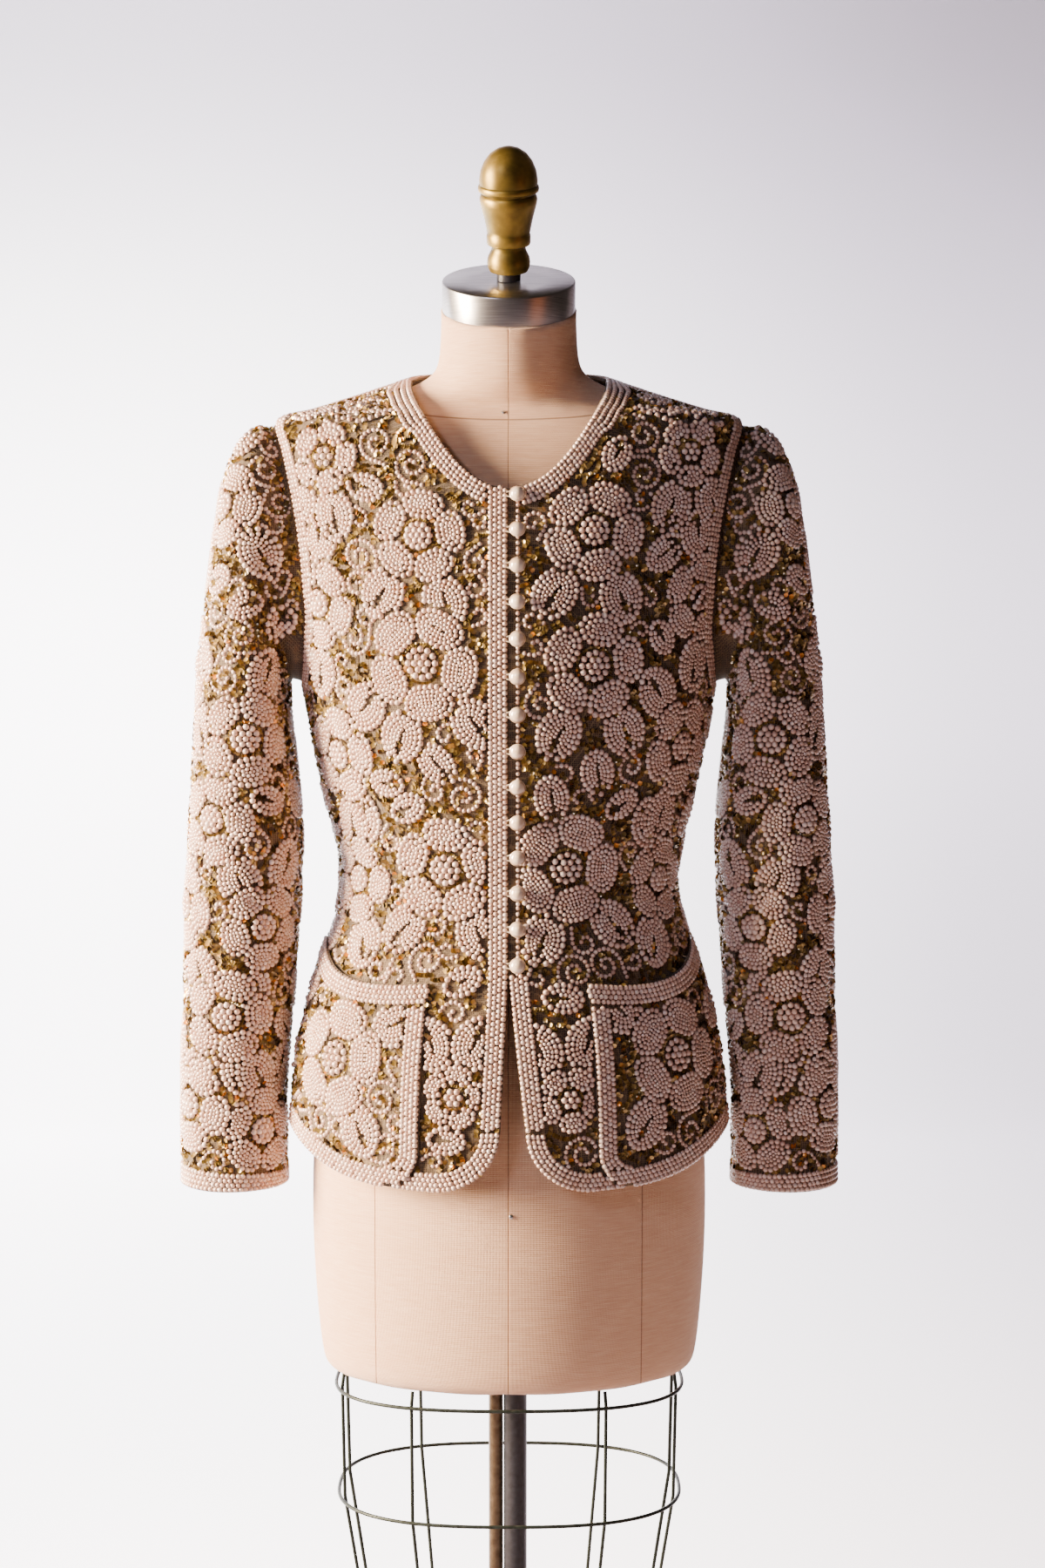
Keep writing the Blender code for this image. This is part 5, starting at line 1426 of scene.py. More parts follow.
class Ground:
    """A surface that beads are sewn on, with what is sewn there already."""

    def __init__(self, seat, step, may_sew, group):
        self.seat, self.step, self.may_sew, self.group = seat, step, may_sew, group
        self.cells = {}
        self.pearls = []
        self.sequins = []

    def free(self, point, radius, owner=-1):
        x, y, z = point
        for other_x, other_y, other_z, other, who in self.cells.get((x // CELL, y // CELL, z // CELL), ()):
            apart = (x - other_x) ** 2 + (y - other_y) ** 2 + (z - other_z) ** 2
            if who != owner and apart < (radius + other) ** 2:
                return False
        return True

    def keep(self, point, radius, owner=-2):
        """Notes a bead in every cell from which another bead could touch it."""
        reach = radius + WIDEST_BEAD
        spans = [range(int((place - reach) // CELL), int((place + reach) // CELL) + 1) for place in point]
        bead = (*point, radius, owner)
        for x in spans[0]:
            for y in spans[1]:
                for z in spans[2]:
                    self.cells.setdefault((x, y, z), []).append(bead)

    def free_share(self, places, radius):
        """Share of these places where a bead could be sewn."""
        places = np.atleast_2d(places)
        allowed = self.may_sew(places, radius)
        if not allowed.any():
            return 0.0
        points = self.seat(places)[0]
        clear = radius * ROOM_CLOSENESS
        count = sum(1 for point, yes in zip(points.tolist(), allowed) if yes and self.free(point, clear))
        return count / len(places)

    def sew_pearls(self, places, diameters, padding=0.0, closeness=CLOSENESS):
        """Sews pearls at the places that are free."""
        if not len(places):
            return
        diameters = np.broadcast_to(np.asarray(diameters, float), (len(places),))
        padding = np.broadcast_to(np.asarray(padding, float), (len(places),))
        allowed = self.may_sew(places, diameters / 2)
        points, normals = self.seat(places)
        groups = self.group(places)
        for place, (point, normal) in enumerate(zip(points.tolist(), normals.tolist())):
            radius = float(diameters[place]) / 2
            if allowed[place] and self.free(point, radius * closeness):
                self.keep(point, radius * closeness)
                self.pearls.append((*point, *normal, radius, float(padding[place]), groups[place]))


def turned_places(around, up, turn):
    """Offsets turned clockwise by degrees."""
    angle = math.radians(turn)
    return (
        around * math.cos(angle) + up * math.sin(angle),
        -around * math.sin(angle) + up * math.cos(angle),
    )


def plain_oval(along, across):
    return along, across


MOST_ROWS = 8


def row_sizes(half):
    """Pearl sizes of the rows from an oval's edge in, stretched a little so that they meet in its middle."""
    fits = []
    for count in range(1, MOST_ROWS + 1):
        sizes = np.array([MOTIF_PEARLS[min(row, len(MOTIF_PEARLS) - 1)] for row in range(count)])
        stretch = half / (sizes.sum() * ROW_STEP + MIDDLE_PEARL / 2)
        fits.append((abs(math.log(stretch)), count, sizes * stretch, MIDDLE_PEARL * stretch))
    return min(fits, key=lambda fit: fit[:2])[2:]


def oval_rows(half_long, half_wide, bent=plain_oval, squareness=2.0):
    """Pearls in rows that follow an oval, from its edge in: offsets along and across it, and diameters."""
    rows, middle_size = row_sizes(min(half_long, half_wide))
    turn = np.linspace(0.0, 2 * math.pi, 181)
    ahead, aside = np.cos(turn), np.sin(turn)
    ahead = np.sign(ahead) * np.abs(ahead) ** (2.0 / squareness)
    aside = np.sign(aside) * np.abs(aside) ** (2.0 / squareness)
    along, across, sizes = [], [], []
    inset = 0.0
    for row, size in enumerate(rows):
        reach = inset + size / 2
        route = np.stack(bent((half_long - reach) * ahead, (half_wide - reach) * aside))
        lengths = route_lengths(route)
        count = max(3, round(lengths[-1] / size))
        wanted = (np.arange(count) + 0.5 * (row % 2)) * lengths[-1] / count
        along.extend(np.interp(wanted, lengths, route[0]))
        across.extend(np.interp(wanted, lengths, route[1]))
        sizes.extend([size] * count)
        inset += size * ROW_STEP
    rest = abs(half_long - half_wide)
    line = np.zeros(1)
    if rest > middle_size / 2:
        line = np.linspace(-rest, rest, int(2 * rest / middle_size) + 1)
    middle = np.zeros(len(line))
    line, middle = bent(line, middle) if half_long > half_wide else bent(middle, line)
    along.extend(line)
    across.extend(middle)
    sizes.extend([middle_size] * len(line))
    return np.array(along), np.array(across), np.array(sizes)


def spots_round(ground, centre, around, up):
    """Places at offsets from a centre."""
    return ground.step(np.repeat(centre, len(around), axis=0), around, up)


def sew_flower(ground, centre, radius, turn):
    """A padded round boss, a thin ring of sequins and five rounded petals."""
    boss = BOSS_RADIUS * radius
    rings = int(boss / BOSS_PEARL)
    offsets = [(0.0, 0.0)]
    for ring in range(1, rings + 1):
        count = 6 * ring
        for number in range(count):
            angle = 2 * math.pi * (number + 0.5 * (ring % 2)) / count
            away = ring * boss / (rings + 0.5)
            offsets.append((away * math.sin(angle), away * math.cos(angle)))
    offsets = np.array(offsets)
    away = np.hypot(offsets[:, 0], offsets[:, 1]) / boss
    places = spots_round(ground, centre, offsets[:, 0], offsets[:, 1])
    padding = BOSS_PADDING * np.sqrt(np.clip(1.0 - away**2, 0.0, 1.0))
    ground.sew_pearls(places, BOSS_PEARL, padding, BOSS_CLOSENESS)
    sew_sequin_ring(ground, centre, boss + RING_AWAY)
    along, across, sizes = petal_offsets(radius)
    middle = (PETAL_START + PETAL_END) / 2 * radius
    domed = np.clip(1.0 - (np.hypot(along - middle, across) / (PETAL_DOME * radius)) ** 2, 0.0, 1.0)
    for petal in range(PETALS):
        around, up = turned_places(across, along, turn + petal * 360.0 / PETALS)
        places = spots_round(ground, centre, around, up)
        ground.sew_pearls(places, sizes, PETAL_PADDING * np.sqrt(domed))


def petal_offsets(radius):
    """Pearls of one petal, from the flower's middle: a rounded fan, hollow where it meets the boss."""
    start = PETAL_START * radius
    half_long = (radius * PETAL_END - start) / 2
    middle = start + half_long
    half_wide = middle * math.pi / PETALS - PETAL_GAP / 2

    def fan(along, across):
        angle = across / middle
        away = middle + along
        return away * np.cos(angle), away * np.sin(angle)

    return oval_rows(half_long, half_wide, fan, PETAL_SQUARENESS)


# Sequins in the ring round a boss: how far out they lie, what they keep clear and hold, and their size
RING_AWAY = 1.6 * MM
RING_CLEAR = 0.9 * MM
RING_HOLD = 0.5 * MM
RING_SIZE = 0.62


def sew_sequin_ring(ground, centre, away):
    count = int(2 * math.pi * away / SEQUIN_STEP)
    turn = np.arange(count) * 2 * math.pi / count
    places = spots_round(ground, centre, away * np.sin(turn), away * np.cos(turn))
    allowed = ground.may_sew(places, SEQUIN_RADIUS)
    points, normals = ground.seat(places)
    groups = ground.group(places)
    onward = np.roll(points, -1, axis=0) - points
    for place in range(count):
        if allowed[place] and ground.free(points[place].tolist(), RING_CLEAR, 0):
            ground.keep(points[place].tolist(), RING_HOLD, 0)
            ground.sequins.append((*points[place], *normals[place], *onward[place], RING_SIZE, groups[place]))


def leaf_offsets(half_long, half_wide):
    """Pearls of a leaf that points up, with a slit open from its middle to its tip."""
    along, across, sizes = oval_rows(half_long, half_wide)
    across = across * (1.0 - LEAF_TAPER * np.clip(along / half_long, 0.0, 1.0) ** 2)
    slit_start = half_long * (LEAF_SLIT_END - 2 * LEAF_SLIT_LENGTH)
    slit = (along > slit_start) & (along < half_long * LEAF_SLIT_END)
    open_width = LEAF_SLIT_WIDTH + sizes / 2
    keep = ~(slit & (np.abs(across) < open_width * LEAF_SLIT_OPEN))
    return along[keep], across[keep], sizes[keep]


def sew_leaf(ground, centre, direction, half_long, half_wide, needed=0.0):
    """A leaf; where needed is above 0 it is sewn only if that share of it is free."""
    along, across, sizes = leaf_offsets(half_long, half_wide)
    around, up = turned_places(across, along, direction)
    places = spots_round(ground, centre, around, up)
    if needed and ground.free_share(places[::3], MOTIF_PEARLS[0] / 2) < needed:
        return False
    domed = np.clip(1.0 - (along / half_long) ** 2 - (across / half_wide) ** 2, 0.0, 1.0)
    ground.sew_pearls(places, sizes, PETAL_PADDING * np.sqrt(domed))
    return True


def sew_flowers(ground, flowers, place_of):
    for first, second, radius, turn, _, _ in flowers:
        sew_flower(ground, place_of(first, second), radius, turn)
    for first, second, radius, _, *directions in flowers:
        for direction in directions:
            reach = radius * LEAF_START + LEAF_LENGTH / 2
            angle = math.radians(direction)
            middle = ground.step(
                place_of(first, second),
                np.array([reach * math.sin(angle)]),
                np.array([reach * math.cos(angle)]),
            )
            sew_leaf(ground, middle, direction, LEAF_LENGTH / 2, LEAF_WIDTH / 2)


def spiral_offsets(radius, hand, tail):
    """Pearls on a curled strand, closely strung, with a short tail."""
    turns = (radius - SPIRAL_EYE) / SPIRAL_PITCH
    turn = np.linspace(0.0, 2 * math.pi * turns, 200)
    away = radius - SPIRAL_PITCH * turn / (2 * math.pi)
    route = np.stack([away * np.sin(turn) * hand, away * np.cos(turn)])
    tail_across = np.linspace(-tail, 0.0, 20)[:-1] * hand
    tail_along = radius + np.linspace(tail * SPIRAL_TAIL_RISE, 0.0, 20)[:-1]
    route = np.concatenate([np.stack([tail_across, tail_along]), route], axis=1)
    lengths = route_lengths(route)
    wanted = np.arange(0.0, lengths[-1], STRAND_PEARL * STRAND_STEP)
    return np.interp(wanted, lengths, route[0]), np.interp(wanted, lengths, route[1])


OPEN_MIDDLE = 2.3 * MM


def open_places(ground, places):
    """Those of the places where a bead could be sewn now, and asked for one by one."""
    allowed = ground.may_sew(places, STRAND_PEARL / 2)
    points = ground.seat(places)[0].tolist()
    for place, point, may in zip(places, points, allowed):
        if may and ground.free(point, OPEN_MIDDLE):
            yield place[None]


def sew_fillers(ground, random_places, leaf_tries, spiral_tries):
    """Small leaves and curled strands wherever the flowers leave room."""
    for centre in open_places(ground, random_places(leaf_tries)):
        size = random.uniform(*SMALL_LEAF_SIZES)
        halves = [half * size for half in SMALL_LEAF]
        sew_leaf(ground, centre, random.uniform(0, 360), *halves, SMALL_LEAF_ROOM)
    for radius in SPIRAL_SIZES:
        for centre in open_places(ground, random_places(spiral_tries)):
            hand, tail = random.choice((-1, 1)), random.uniform(*SPIRAL_TAILS) * radius
            across, along = spiral_offsets(radius, hand, tail)
            around, up = turned_places(across, along, random.uniform(0, 360))
            places = spots_round(ground, centre, around, up)
            if ground.free_share(places[::3], STRAND_PEARL * 0.6) > SPIRAL_ROOM:
                ground.sew_pearls(places, STRAND_PEARL)


def sew_sequins(ground, random_places, starts):
    """Curving strings of overlapping cupped sequins over what is left of the ground."""
    for _ in range(SEQUIN_ROUNDS):
        sew_sequin_strings(ground, random_places(starts))


# How a string bends from one sequin to the next, how that changes, and its most
STRING_BEND = 0.5
STRING_BEND_CHANGE = 0.18
STRING_BEND_MOST = 0.7


def sew_sequin_strings(ground, places):
    count = len(places)
    heading = dice.uniform(0.0, 2 * math.pi, count)
    bend = dice.uniform(-STRING_BEND, STRING_BEND, count)
    going = np.ones(count, bool)
    for _ in range(SEQUIN_STRING):
        ahead = ground.step(places, SEQUIN_STEP * np.sin(heading), SEQUIN_STEP * np.cos(heading))
        points, normals = ground.seat(places)
        onward = ground.seat(ahead)[0] - points
        allowed = ground.may_sew(places, SEQUIN_RADIUS) & going
        groups = ground.group(places)
        for string in np.flatnonzero(allowed):
            point = points[string].tolist()
            if ground.free(point, SEQUIN_CLEAR, string + 1):
                ground.keep(point, SEQUIN_CLEAR, string + 1)
                ground.sequins.append((*point, *normals[string], *onward[string], 1.0, groups[string]))
            else:
                going[string] = False
        going &= allowed
        places = ahead
        heading = heading + bend
        bend = bend + dice.uniform(-STRING_BEND_CHANGE, STRING_BEND_CHANGE, count)
        bend = np.clip(bend, -STRING_BEND_MOST, STRING_BEND_MOST)


def line_pearls(ground, track, mirror, size, line):
    """Pearls side by side along a dense track of places, each line lying in the hollows of the last."""
    places = track.T.copy()
    places[:, 0] *= mirror
    lengths = lengths_along(ground.seat(places)[0])
    wanted = np.arange(size * (0.5 + 0.5 * BAND_CLOSE * (line % 2)), lengths[-1], size * BAND_CLOSE)
    wanted = wanted + size * BAND_UNEVEN * np.sin(BAND_UNEVEN_TURN * np.arange(len(wanted)) + line)
    spots = np.stack([np.interp(wanted, lengths, places[:, axis]) for axis in (0, 1)], axis=1)
    ground.sew_pearls(spots, size, BAND_PADDING, BAND_CLOSENESS)


def inset(track, distance, way):
    """A track moved sideways over the surface; way 1 is to the left of its direction."""
    places = track.T
    ahead = np.gradient(places, axis=0)
    across, up = body_ways(places[:, 0], places[:, 1])
    around_speed, up_speed = np.linalg.norm(across, axis=1), np.linalg.norm(up, axis=1)
    run = np.stack([ahead[:, 0] * around_speed, ahead[:, 1] * up_speed], axis=1)
    run = unit(run, 1e-12)
    side = np.stack([-run[:, 1], run[:, 0]], axis=1) * way * distance
    moved = places + np.stack([side[:, 0] / around_speed, side[:, 1] / up_speed], axis=1)
    return moved.T


def sew_band(ground, track, mirror, way, lines=BAND_LINES, size=BAND_PEARL):
    for line in range(lines):
        moved = inset(track, (line * BAND_ROW_STEP + 0.5) * size + BAND_MARGIN, way)
        line_pearls(ground, moved, mirror, size, line)


def in_pocket(places, margin=0.0):
    angle, height = np.abs(places[:, 0]), height_at_ring(places[:, 1])
    aside = np.degrees(margin / POCKET_RADIUS)
    inside = (angle > POCKET_INNER_ANGLE - aside) & (angle < POCKET_OUTER_ANGLE + aside)
    return inside & (height < pocket_top(angle) + margin) & (height > pocket_bottom(angle) - margin)


def body_seat_with_pockets(places):
    point, normal = body_seat(places)
    inside = in_pocket(places)
    gape = pocket_gape(np.abs(places[:, 0]), height_at_ring(places[:, 1]))
    lift = np.where(inside, POCKET_FACE + gape, 0.0)
    return point + normal * lift[:, None], normal


# Shares of a bead's radius that it stays inside the hem and the other edges
HEM_KEEP = 0.4
EDGE_KEEP = 0.6
# The strip under the buttons, which is left bare
STRIP_ANGLE = 30
STRIP_TOP = 1.30
STRIP_EASE = 0.004
# A length at the armhole is turned into an angle at this radius
ARMHOLE_RADIUS = 0.1
POCKET_EDGE = 1.2 * MM


def body_may_sew(places, radius):
    """Places inside the cut lines, clear of the buttons' strip and of the pockets' edges."""
    angle, ring = places[:, 0], places[:, 1]
    reach = np.abs((angle + 180.0) % 360.0 - 180.0)
    height = height_at_ring(ring)
    x = width_at_ring(ring) * np.sin(np.radians(reach))
    good = (ring > 0.0) & (ring < NECK_RING) & (np.abs(angle) <= 180.0 + 1e-6)
    front = reach < 90.0
    for side, sign in SIDES.items():
        own = (angle >= 0) == (sign > 0)
        hem = np.where(front, front_hem_height(reach, side), hem_height(reach))
        good &= ~own | (height > hem + radius * HEM_KEEP)
        good &= ~(own & front) | (x > front_edge_x(side, height) + radius * EDGE_KEEP)
    strip = (angle >= 0) & (angle < STRIP_ANGLE) & (x < BUTTON_STRIP - STRIP_EASE)
    good &= ~(strip & (height > OPENING_TOP) & (height < STRIP_TOP))
    neck_reach = np.interp(height, *neck_outline())
    good &= ~(front & (height > NECK_FRONT_HEIGHT)) | (x > neck_reach + radius * EDGE_KEEP)
    heights, sweeps = armhole_outline()
    for back in (False, True):
        sweep = np.interp(height, heights, sweeps[back], left=-1.0, right=-1.0)
        own = (reach > 90.0) == back
        good &= ~own | (np.abs(reach - 90.0) > sweep + np.degrees(radius * EDGE_KEEP / ARMHOLE_RADIUS))
    pocket, near = in_pocket(places), in_pocket(places, POCKET_EDGE)
    return good & (pocket | ~near)


OUTLINES = {}


def neck_outline():
    if "neck" not in OUTLINES:
        track = front_neck_track("right")
        reach = width_at_ring(track[1]) * np.sin(np.radians(track[0]))
        OUTLINES["neck"] = (height_at_ring(track[1]), reach)
    return OUTLINES["neck"]


def armhole_outline():
    if "armhole" not in OUTLINES:
        tracks = [armhole_track(back) for back in (False, True)]
        heights = height_at_ring(tracks[0][1])
        OUTLINES["armhole"] = (heights, [np.abs(track[0] - 90.0) for track in tracks])
    return OUTLINES["armhole"]


def body_group(places):
    """The piece that a place's beads belong to."""
    side = np.where(places[:, 0] < 0, "right", "left")
    part = np.where(np.abs(places[:, 0]) < 90.0, "front", "back")
    pocket = in_pocket(places)
    return [f"{'pocket' if p else f}_{s}" for s, f, p in zip(side, part, pocket)]


SLEEVE_HEAD_BARE = 3.5 * MM
CUFF_KEEP = 0.7
# Where the sleeve lies against the body under the arm: angles, and share of its length
UNDERARM_ANGLES = (140.0, 220.0)
UNDERARM_SHARE = 0.05


def sleeve_may_sew(places, radius):
    """Places clear of the armhole, of the cuff's edge and of where the sleeve lies against the body."""
    angle, share = places[:, 0] % 360.0, places[:, 1]
    good = (share > SLEEVE_HEAD_BARE / SLEEVE_LENGTH) & (share < 1.0 - radius * CUFF_KEEP / SLEEVE_LENGTH)
    inner_side = (angle > UNDERARM_ANGLES[0]) & (angle < UNDERARM_ANGLES[1])
    return good & ~(inner_side & (share < UNDERARM_SHARE))


def sleeve_group(places):
    return ["sleeve"] * len(places)


# Places tried for small leaves and spirals, and strings of sequins started in each round
BODY_TRIES = (1500, 9000)
BODY_STRINGS = 4000
SLEEVE_TRIES = (700, 4500)
SLEEVE_STRINGS = 2000
# The row of pearls under the buttons: how far it starts and ends within their strip, and how it stands aside
ROW_START = 0.002
ROW_END = 0.004
ROW_ASIDE = 0.0005
ROW_FIRST = 2.0 * MM
ROW_HOLD = 0.84
ROW_SIZE = 0.86


def sew_body():
    ground = Ground(body_seat_with_pockets, body_step, body_may_sew, body_group)
    for side, mirror in SIDES.items():
        sew_band(ground, hem_track(side), mirror, -1)
        edge_top = NECK_FRONT_HEIGHT if side == "right" else OPENING_TOP
        sew_band(ground, front_edge_track(side, CORNER_TOP, edge_top), mirror, -1)
        sew_band(ground, front_neck_track(side), mirror, -1)
        sew_band(ground, back_neck_track()[:, ::-1], mirror, -1)
        for back in (False, True):
            sew_band(ground, armhole_track(back), mirror, -1 if back else 1, ARMHOLE_LINES)
        shoulder = upright(90.0, np.linspace(SHOULDER_TIP_RING, NECK_RING, len(DENSE)))
        for way, lines in SHOULDER_LINES.items():
            sew_band(ground, shoulder, mirror, way, lines, SHOULDER_PEARL)
        sew_pocket_bands(ground, mirror)
    button_line = rings_between(OPENING_TOP - ROW_START, NECK_FRONT_HEIGHT - ROW_END)
    row_under_buttons(ground, np.stack([angle_at_x(BUTTON_X + ROW_ASIDE, button_line), button_line]))
    sew_flowers(ground, FLOWERS, lambda angle, height: np.array([[angle, float(ring_at_height(height))]]))
    low, high = PROFILE_LENGTH[0], PROFILE_LENGTH[-1]

    def random_places(count):
        lengths = dice.uniform(low, high, count)
        angles = dice.uniform(-180.0, 180.0, count)
        return np.stack([angles, np.interp(lengths, PROFILE_LENGTH, DENSE_RINGS)], axis=1)

    sew_fillers(ground, random_places, *BODY_TRIES)
    sew_sequins(ground, random_places, BODY_STRINGS)
    return ground


def row_under_buttons(ground, track):
    """One column of pearls along the button edge, hidden where a button stands."""
    points, normals = body_seat(track.T)
    lengths = lengths_along(points)
    for length in np.arange(ROW_FIRST, lengths[-1], BAND_PEARL):
        place = int(np.searchsorted(lengths, length))
        point = points[place].tolist()
        ground.keep(point, BAND_PEARL / 2 * ROW_HOLD)
        radius = BAND_PEARL / 2 * ROW_SIZE
        ground.pearls.append((*point, *normals[place].tolist(), radius, 0.0, "front_left"))


def sew_pocket_bands(ground, mirror):
    """Four rows along the pocket's mouth, four down its inner side and round its corner."""
    angles = np.linspace(POCKET_OUTER_ANGLE, POCKET_INNER_ANGLE, 241)
    mouth = np.stack([angles, ring_at_height(pocket_top(angles))])
    corner_top = float(pocket_bottom(np.array(POCKET_INNER_ANGLE)))
    rings = rings_between(corner_top, POCKET_INNER_TOP)[::-1]
    inner_side = upright(POCKET_INNER_ANGLE, rings)
    angles = pocket_angle(np.linspace(0.0, 1.0, 600) ** 2)
    foot = np.stack([angles, ring_at_height(pocket_bottom(angles))])
    sew_band(ground, mouth, mirror, 1)
    sew_band(ground, np.concatenate([inner_side, foot[:, 1:]], axis=1), mirror, 1)


def sew_sleeve():
    """The left sleeve's beadwork, which the right one mirrors."""
    ground = Ground(sleeve_seat, sleeve_step, sleeve_may_sew, sleeve_group)
    for line in range(BAND_LINES):
        share = 1.0 - ((line * BAND_ROW_STEP + 0.5) * BAND_PEARL + CUFF_MARGIN) / SLEEVE_LENGTH
        track = np.stack([np.linspace(0.0, 360.0, 361), np.full(361, share)])
        line_pearls(ground, track, 1.0, BAND_PEARL, line)
    sew_flowers(ground, SLEEVE_FLOWERS, lambda angle, share: np.array([[float(angle), float(share)]]))

    def random_places(count):
        return np.stack([dice.uniform(0.0, 360.0, count), dice.uniform(0.0, 1.0, count)], axis=1)

    sew_fillers(ground, random_places, *SLEEVE_TRIES)
    sew_sequins(ground, random_places, SLEEVE_STRINGS)
    return ground


PEARL_SIDES = 6
PEARL_FULLNESS = 1.11
# A pearl's two rings, by radius and height, and its top, in radii; how far it sinks into the cloth; its tints
PEARL_RINGS = ((1.0, 0.12), (0.74, 0.80))
PEARL_TOP = 1.12
PEARL_SINK = 0.15
PEARL_TINTS = (0.6, 0.2)


def pearl_shape(sides):
    """A low bead of one unit radius that stands on its ground: points and triangles."""
    points = []
    for radius, height in PEARL_RINGS:
        for step in range(sides):
            turn = 2 * math.pi * (step + 0.5 * len(points) / sides) / sides
            points.append((radius * math.cos(turn), radius * math.sin(turn), height))
    points.append((0.0, 0.0, PEARL_TOP))
    faces = []
    for step in range(sides):
        after = (step + 1) % sides
        faces += [(step, after, sides + step), (after, sides + after, sides + step)]
        faces.append((sides + step, sides + after, 2 * sides))
    return np.array(points), np.array(faces)


def sequin_shape():
    """A cupped six-sided disc of one unit radius."""
    turn = np.arange(6) * math.pi / 3
    rim = np.stack([np.cos(turn), np.sin(turn), np.zeros(6)], axis=1)
    points = np.concatenate([rim, [[0.0, 0.0, -SEQUIN_CUP / SEQUIN_RADIUS]]])
    return points, np.array([(step, (step + 1) % 6, 6) for step in range(6)])


def joined_copies(name, shape, places, frames, sizes, tints, finish_name, smooth):
    """One mesh with a copy of the shape at every place, each with its own tint."""
    corners, faces = shape
    moved = np.einsum("nij,vj->nvi", frames, corners) * sizes[:, None, None] + places[:, None, :]
    moved = moved.reshape(-1, 3).astype(np.float32)
    starts = (np.arange(len(places)) * len(corners))[:, None, None]
    triangles = (faces[None] + starts).reshape(-1, 3).astype(np.int32)
    mesh = bpy.data.meshes.new(name)
    mesh.vertices.add(len(moved))
    mesh.vertices.foreach_set("co", moved.ravel())
    mesh.loops.add(triangles.size)
    mesh.loops.foreach_set("vertex_index", triangles.ravel())
    mesh.polygons.add(len(triangles))
    mesh.polygons.foreach_set("loop_start", np.arange(0, triangles.size, 3, dtype=np.int32))
    mesh.update(calc_edges=True)
    mesh.validate()
    attribute = mesh.attributes.new("tint", "FLOAT", "POINT")
    attribute.data.foreach_set("value", np.repeat(tints, len(corners)).astype(np.float32))
    if smooth:
        mesh.shade_smooth()
    mesh.materials.append(FINISH[finish_name])
    piece = bpy.data.objects.new(name, mesh)
    bpy.context.scene.collection.objects.link(piece)
    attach(piece, "root")
    return piece


def frames_from(normals, ahead):
    """Axes for each bead: its up along the normal and its first axis as near ahead as may be."""
    ahead = ahead - normals * (ahead * normals).sum(axis=1, keepdims=True)
    ahead = unit(ahead, 1e-9)
    return np.stack([ahead, np.cross(normals, ahead), normals], axis=2)


def make_pearls(name, beads, mirror):
    table = np.array([bead[:8] for bead in beads])
    normals = table[:, 3:6] * mirror
    spin = dice.normal(size=(len(table), 3))
    lift = table[:, 7] - PEARL_SINK * table[:, 6]
    places = table[:, :3] * mirror + normals * lift[:, None]
    tints = np.clip(dice.normal(*PEARL_TINTS, len(table)), 0.0, 1.0)
    frames = frames_from(normals, spin)
    sizes = table[:, 6] * PEARL_FULLNESS
    shape = pearl_shape(PEARL_SIDES)
    return joined_copies(name, shape, places, frames, sizes, tints, "pearl", True)


# How unevenly sequins tilt, in degrees, and roll; how high they lie; and how often and far one is amber
SEQUIN_TILT_SPREAD = 9.0
SEQUIN_ROLL_SPREAD = 0.16
SEQUIN_LIFT = 1.35 * MM
SEQUIN_TINTS = (2.0, 2.6)
AMBER_SHARE = 0.93
AMBER_TINT = 0.5


def make_sequins(name, beads, mirror):
    """Sequins lean back along their string, so that each lies on the one before."""
    table = np.array([bead[:10] for bead in beads])
    normals, ahead = table[:, 3:6] * mirror, table[:, 6:9] * mirror
    ahead = unit(ahead, 1e-9)
    tilt = np.radians(SEQUIN_TILT + dice.normal(0.0, SEQUIN_TILT_SPREAD, len(table)))[:, None]
    leaning = normals * np.cos(tilt) - ahead * np.sin(tilt)
    roll = np.cross(normals, ahead) * dice.normal(0.0, SEQUIN_ROLL_SPREAD, len(table))[:, None]
    leaning = unit(leaning + roll)
    places = table[:, :3] * mirror + normals * SEQUIN_LIFT
    tints = dice.beta(*SEQUIN_TINTS, len(table))
    tints = np.clip(tints + (dice.random(len(table)) > AMBER_SHARE) * AMBER_TINT, 0.0, 1.0)
    frames = frames_from(leaning, ahead)
    sizes = SEQUIN_RADIUS * table[:, 9]
    shape = sequin_shape()
    return joined_copies(name, shape, places, frames, sizes, tints, "sequin", False)


def make_beadwork():
    """All beads, in pieces that go with the cloth they are sewn on."""
    made = {}
    body = sew_body()
    for group in sorted({bead[-1] for bead in body.pearls}):
        pearls = [bead for bead in body.pearls if bead[-1] == group]
        made.setdefault(group, []).append(make_pearls(f"pearls_{group}", pearls, np.ones(3)))
        sequins = [bead for bead in body.sequins if bead[-1] == group]
        if sequins:
            made[group].append(make_sequins(f"sequins_{group}", sequins, np.ones(3)))
    sleeve = sew_sleeve()
    for side, sign in SIDES.items():
        mirror = np.array([sign, 1.0, 1.0])
        made[f"sleeve_{side}"] = [
            make_pearls(f"pearls_sleeve_{side}", sleeve.pearls, mirror),
            make_sequins(f"sequins_sleeve_{side}", sleeve.sequins, mirror),
        ]
    return made


# Turned pieces, the dress form and its stand


# Edges sharper than this stay crisp on turned pieces
SHARP_ANGLE = math.radians(38.0)


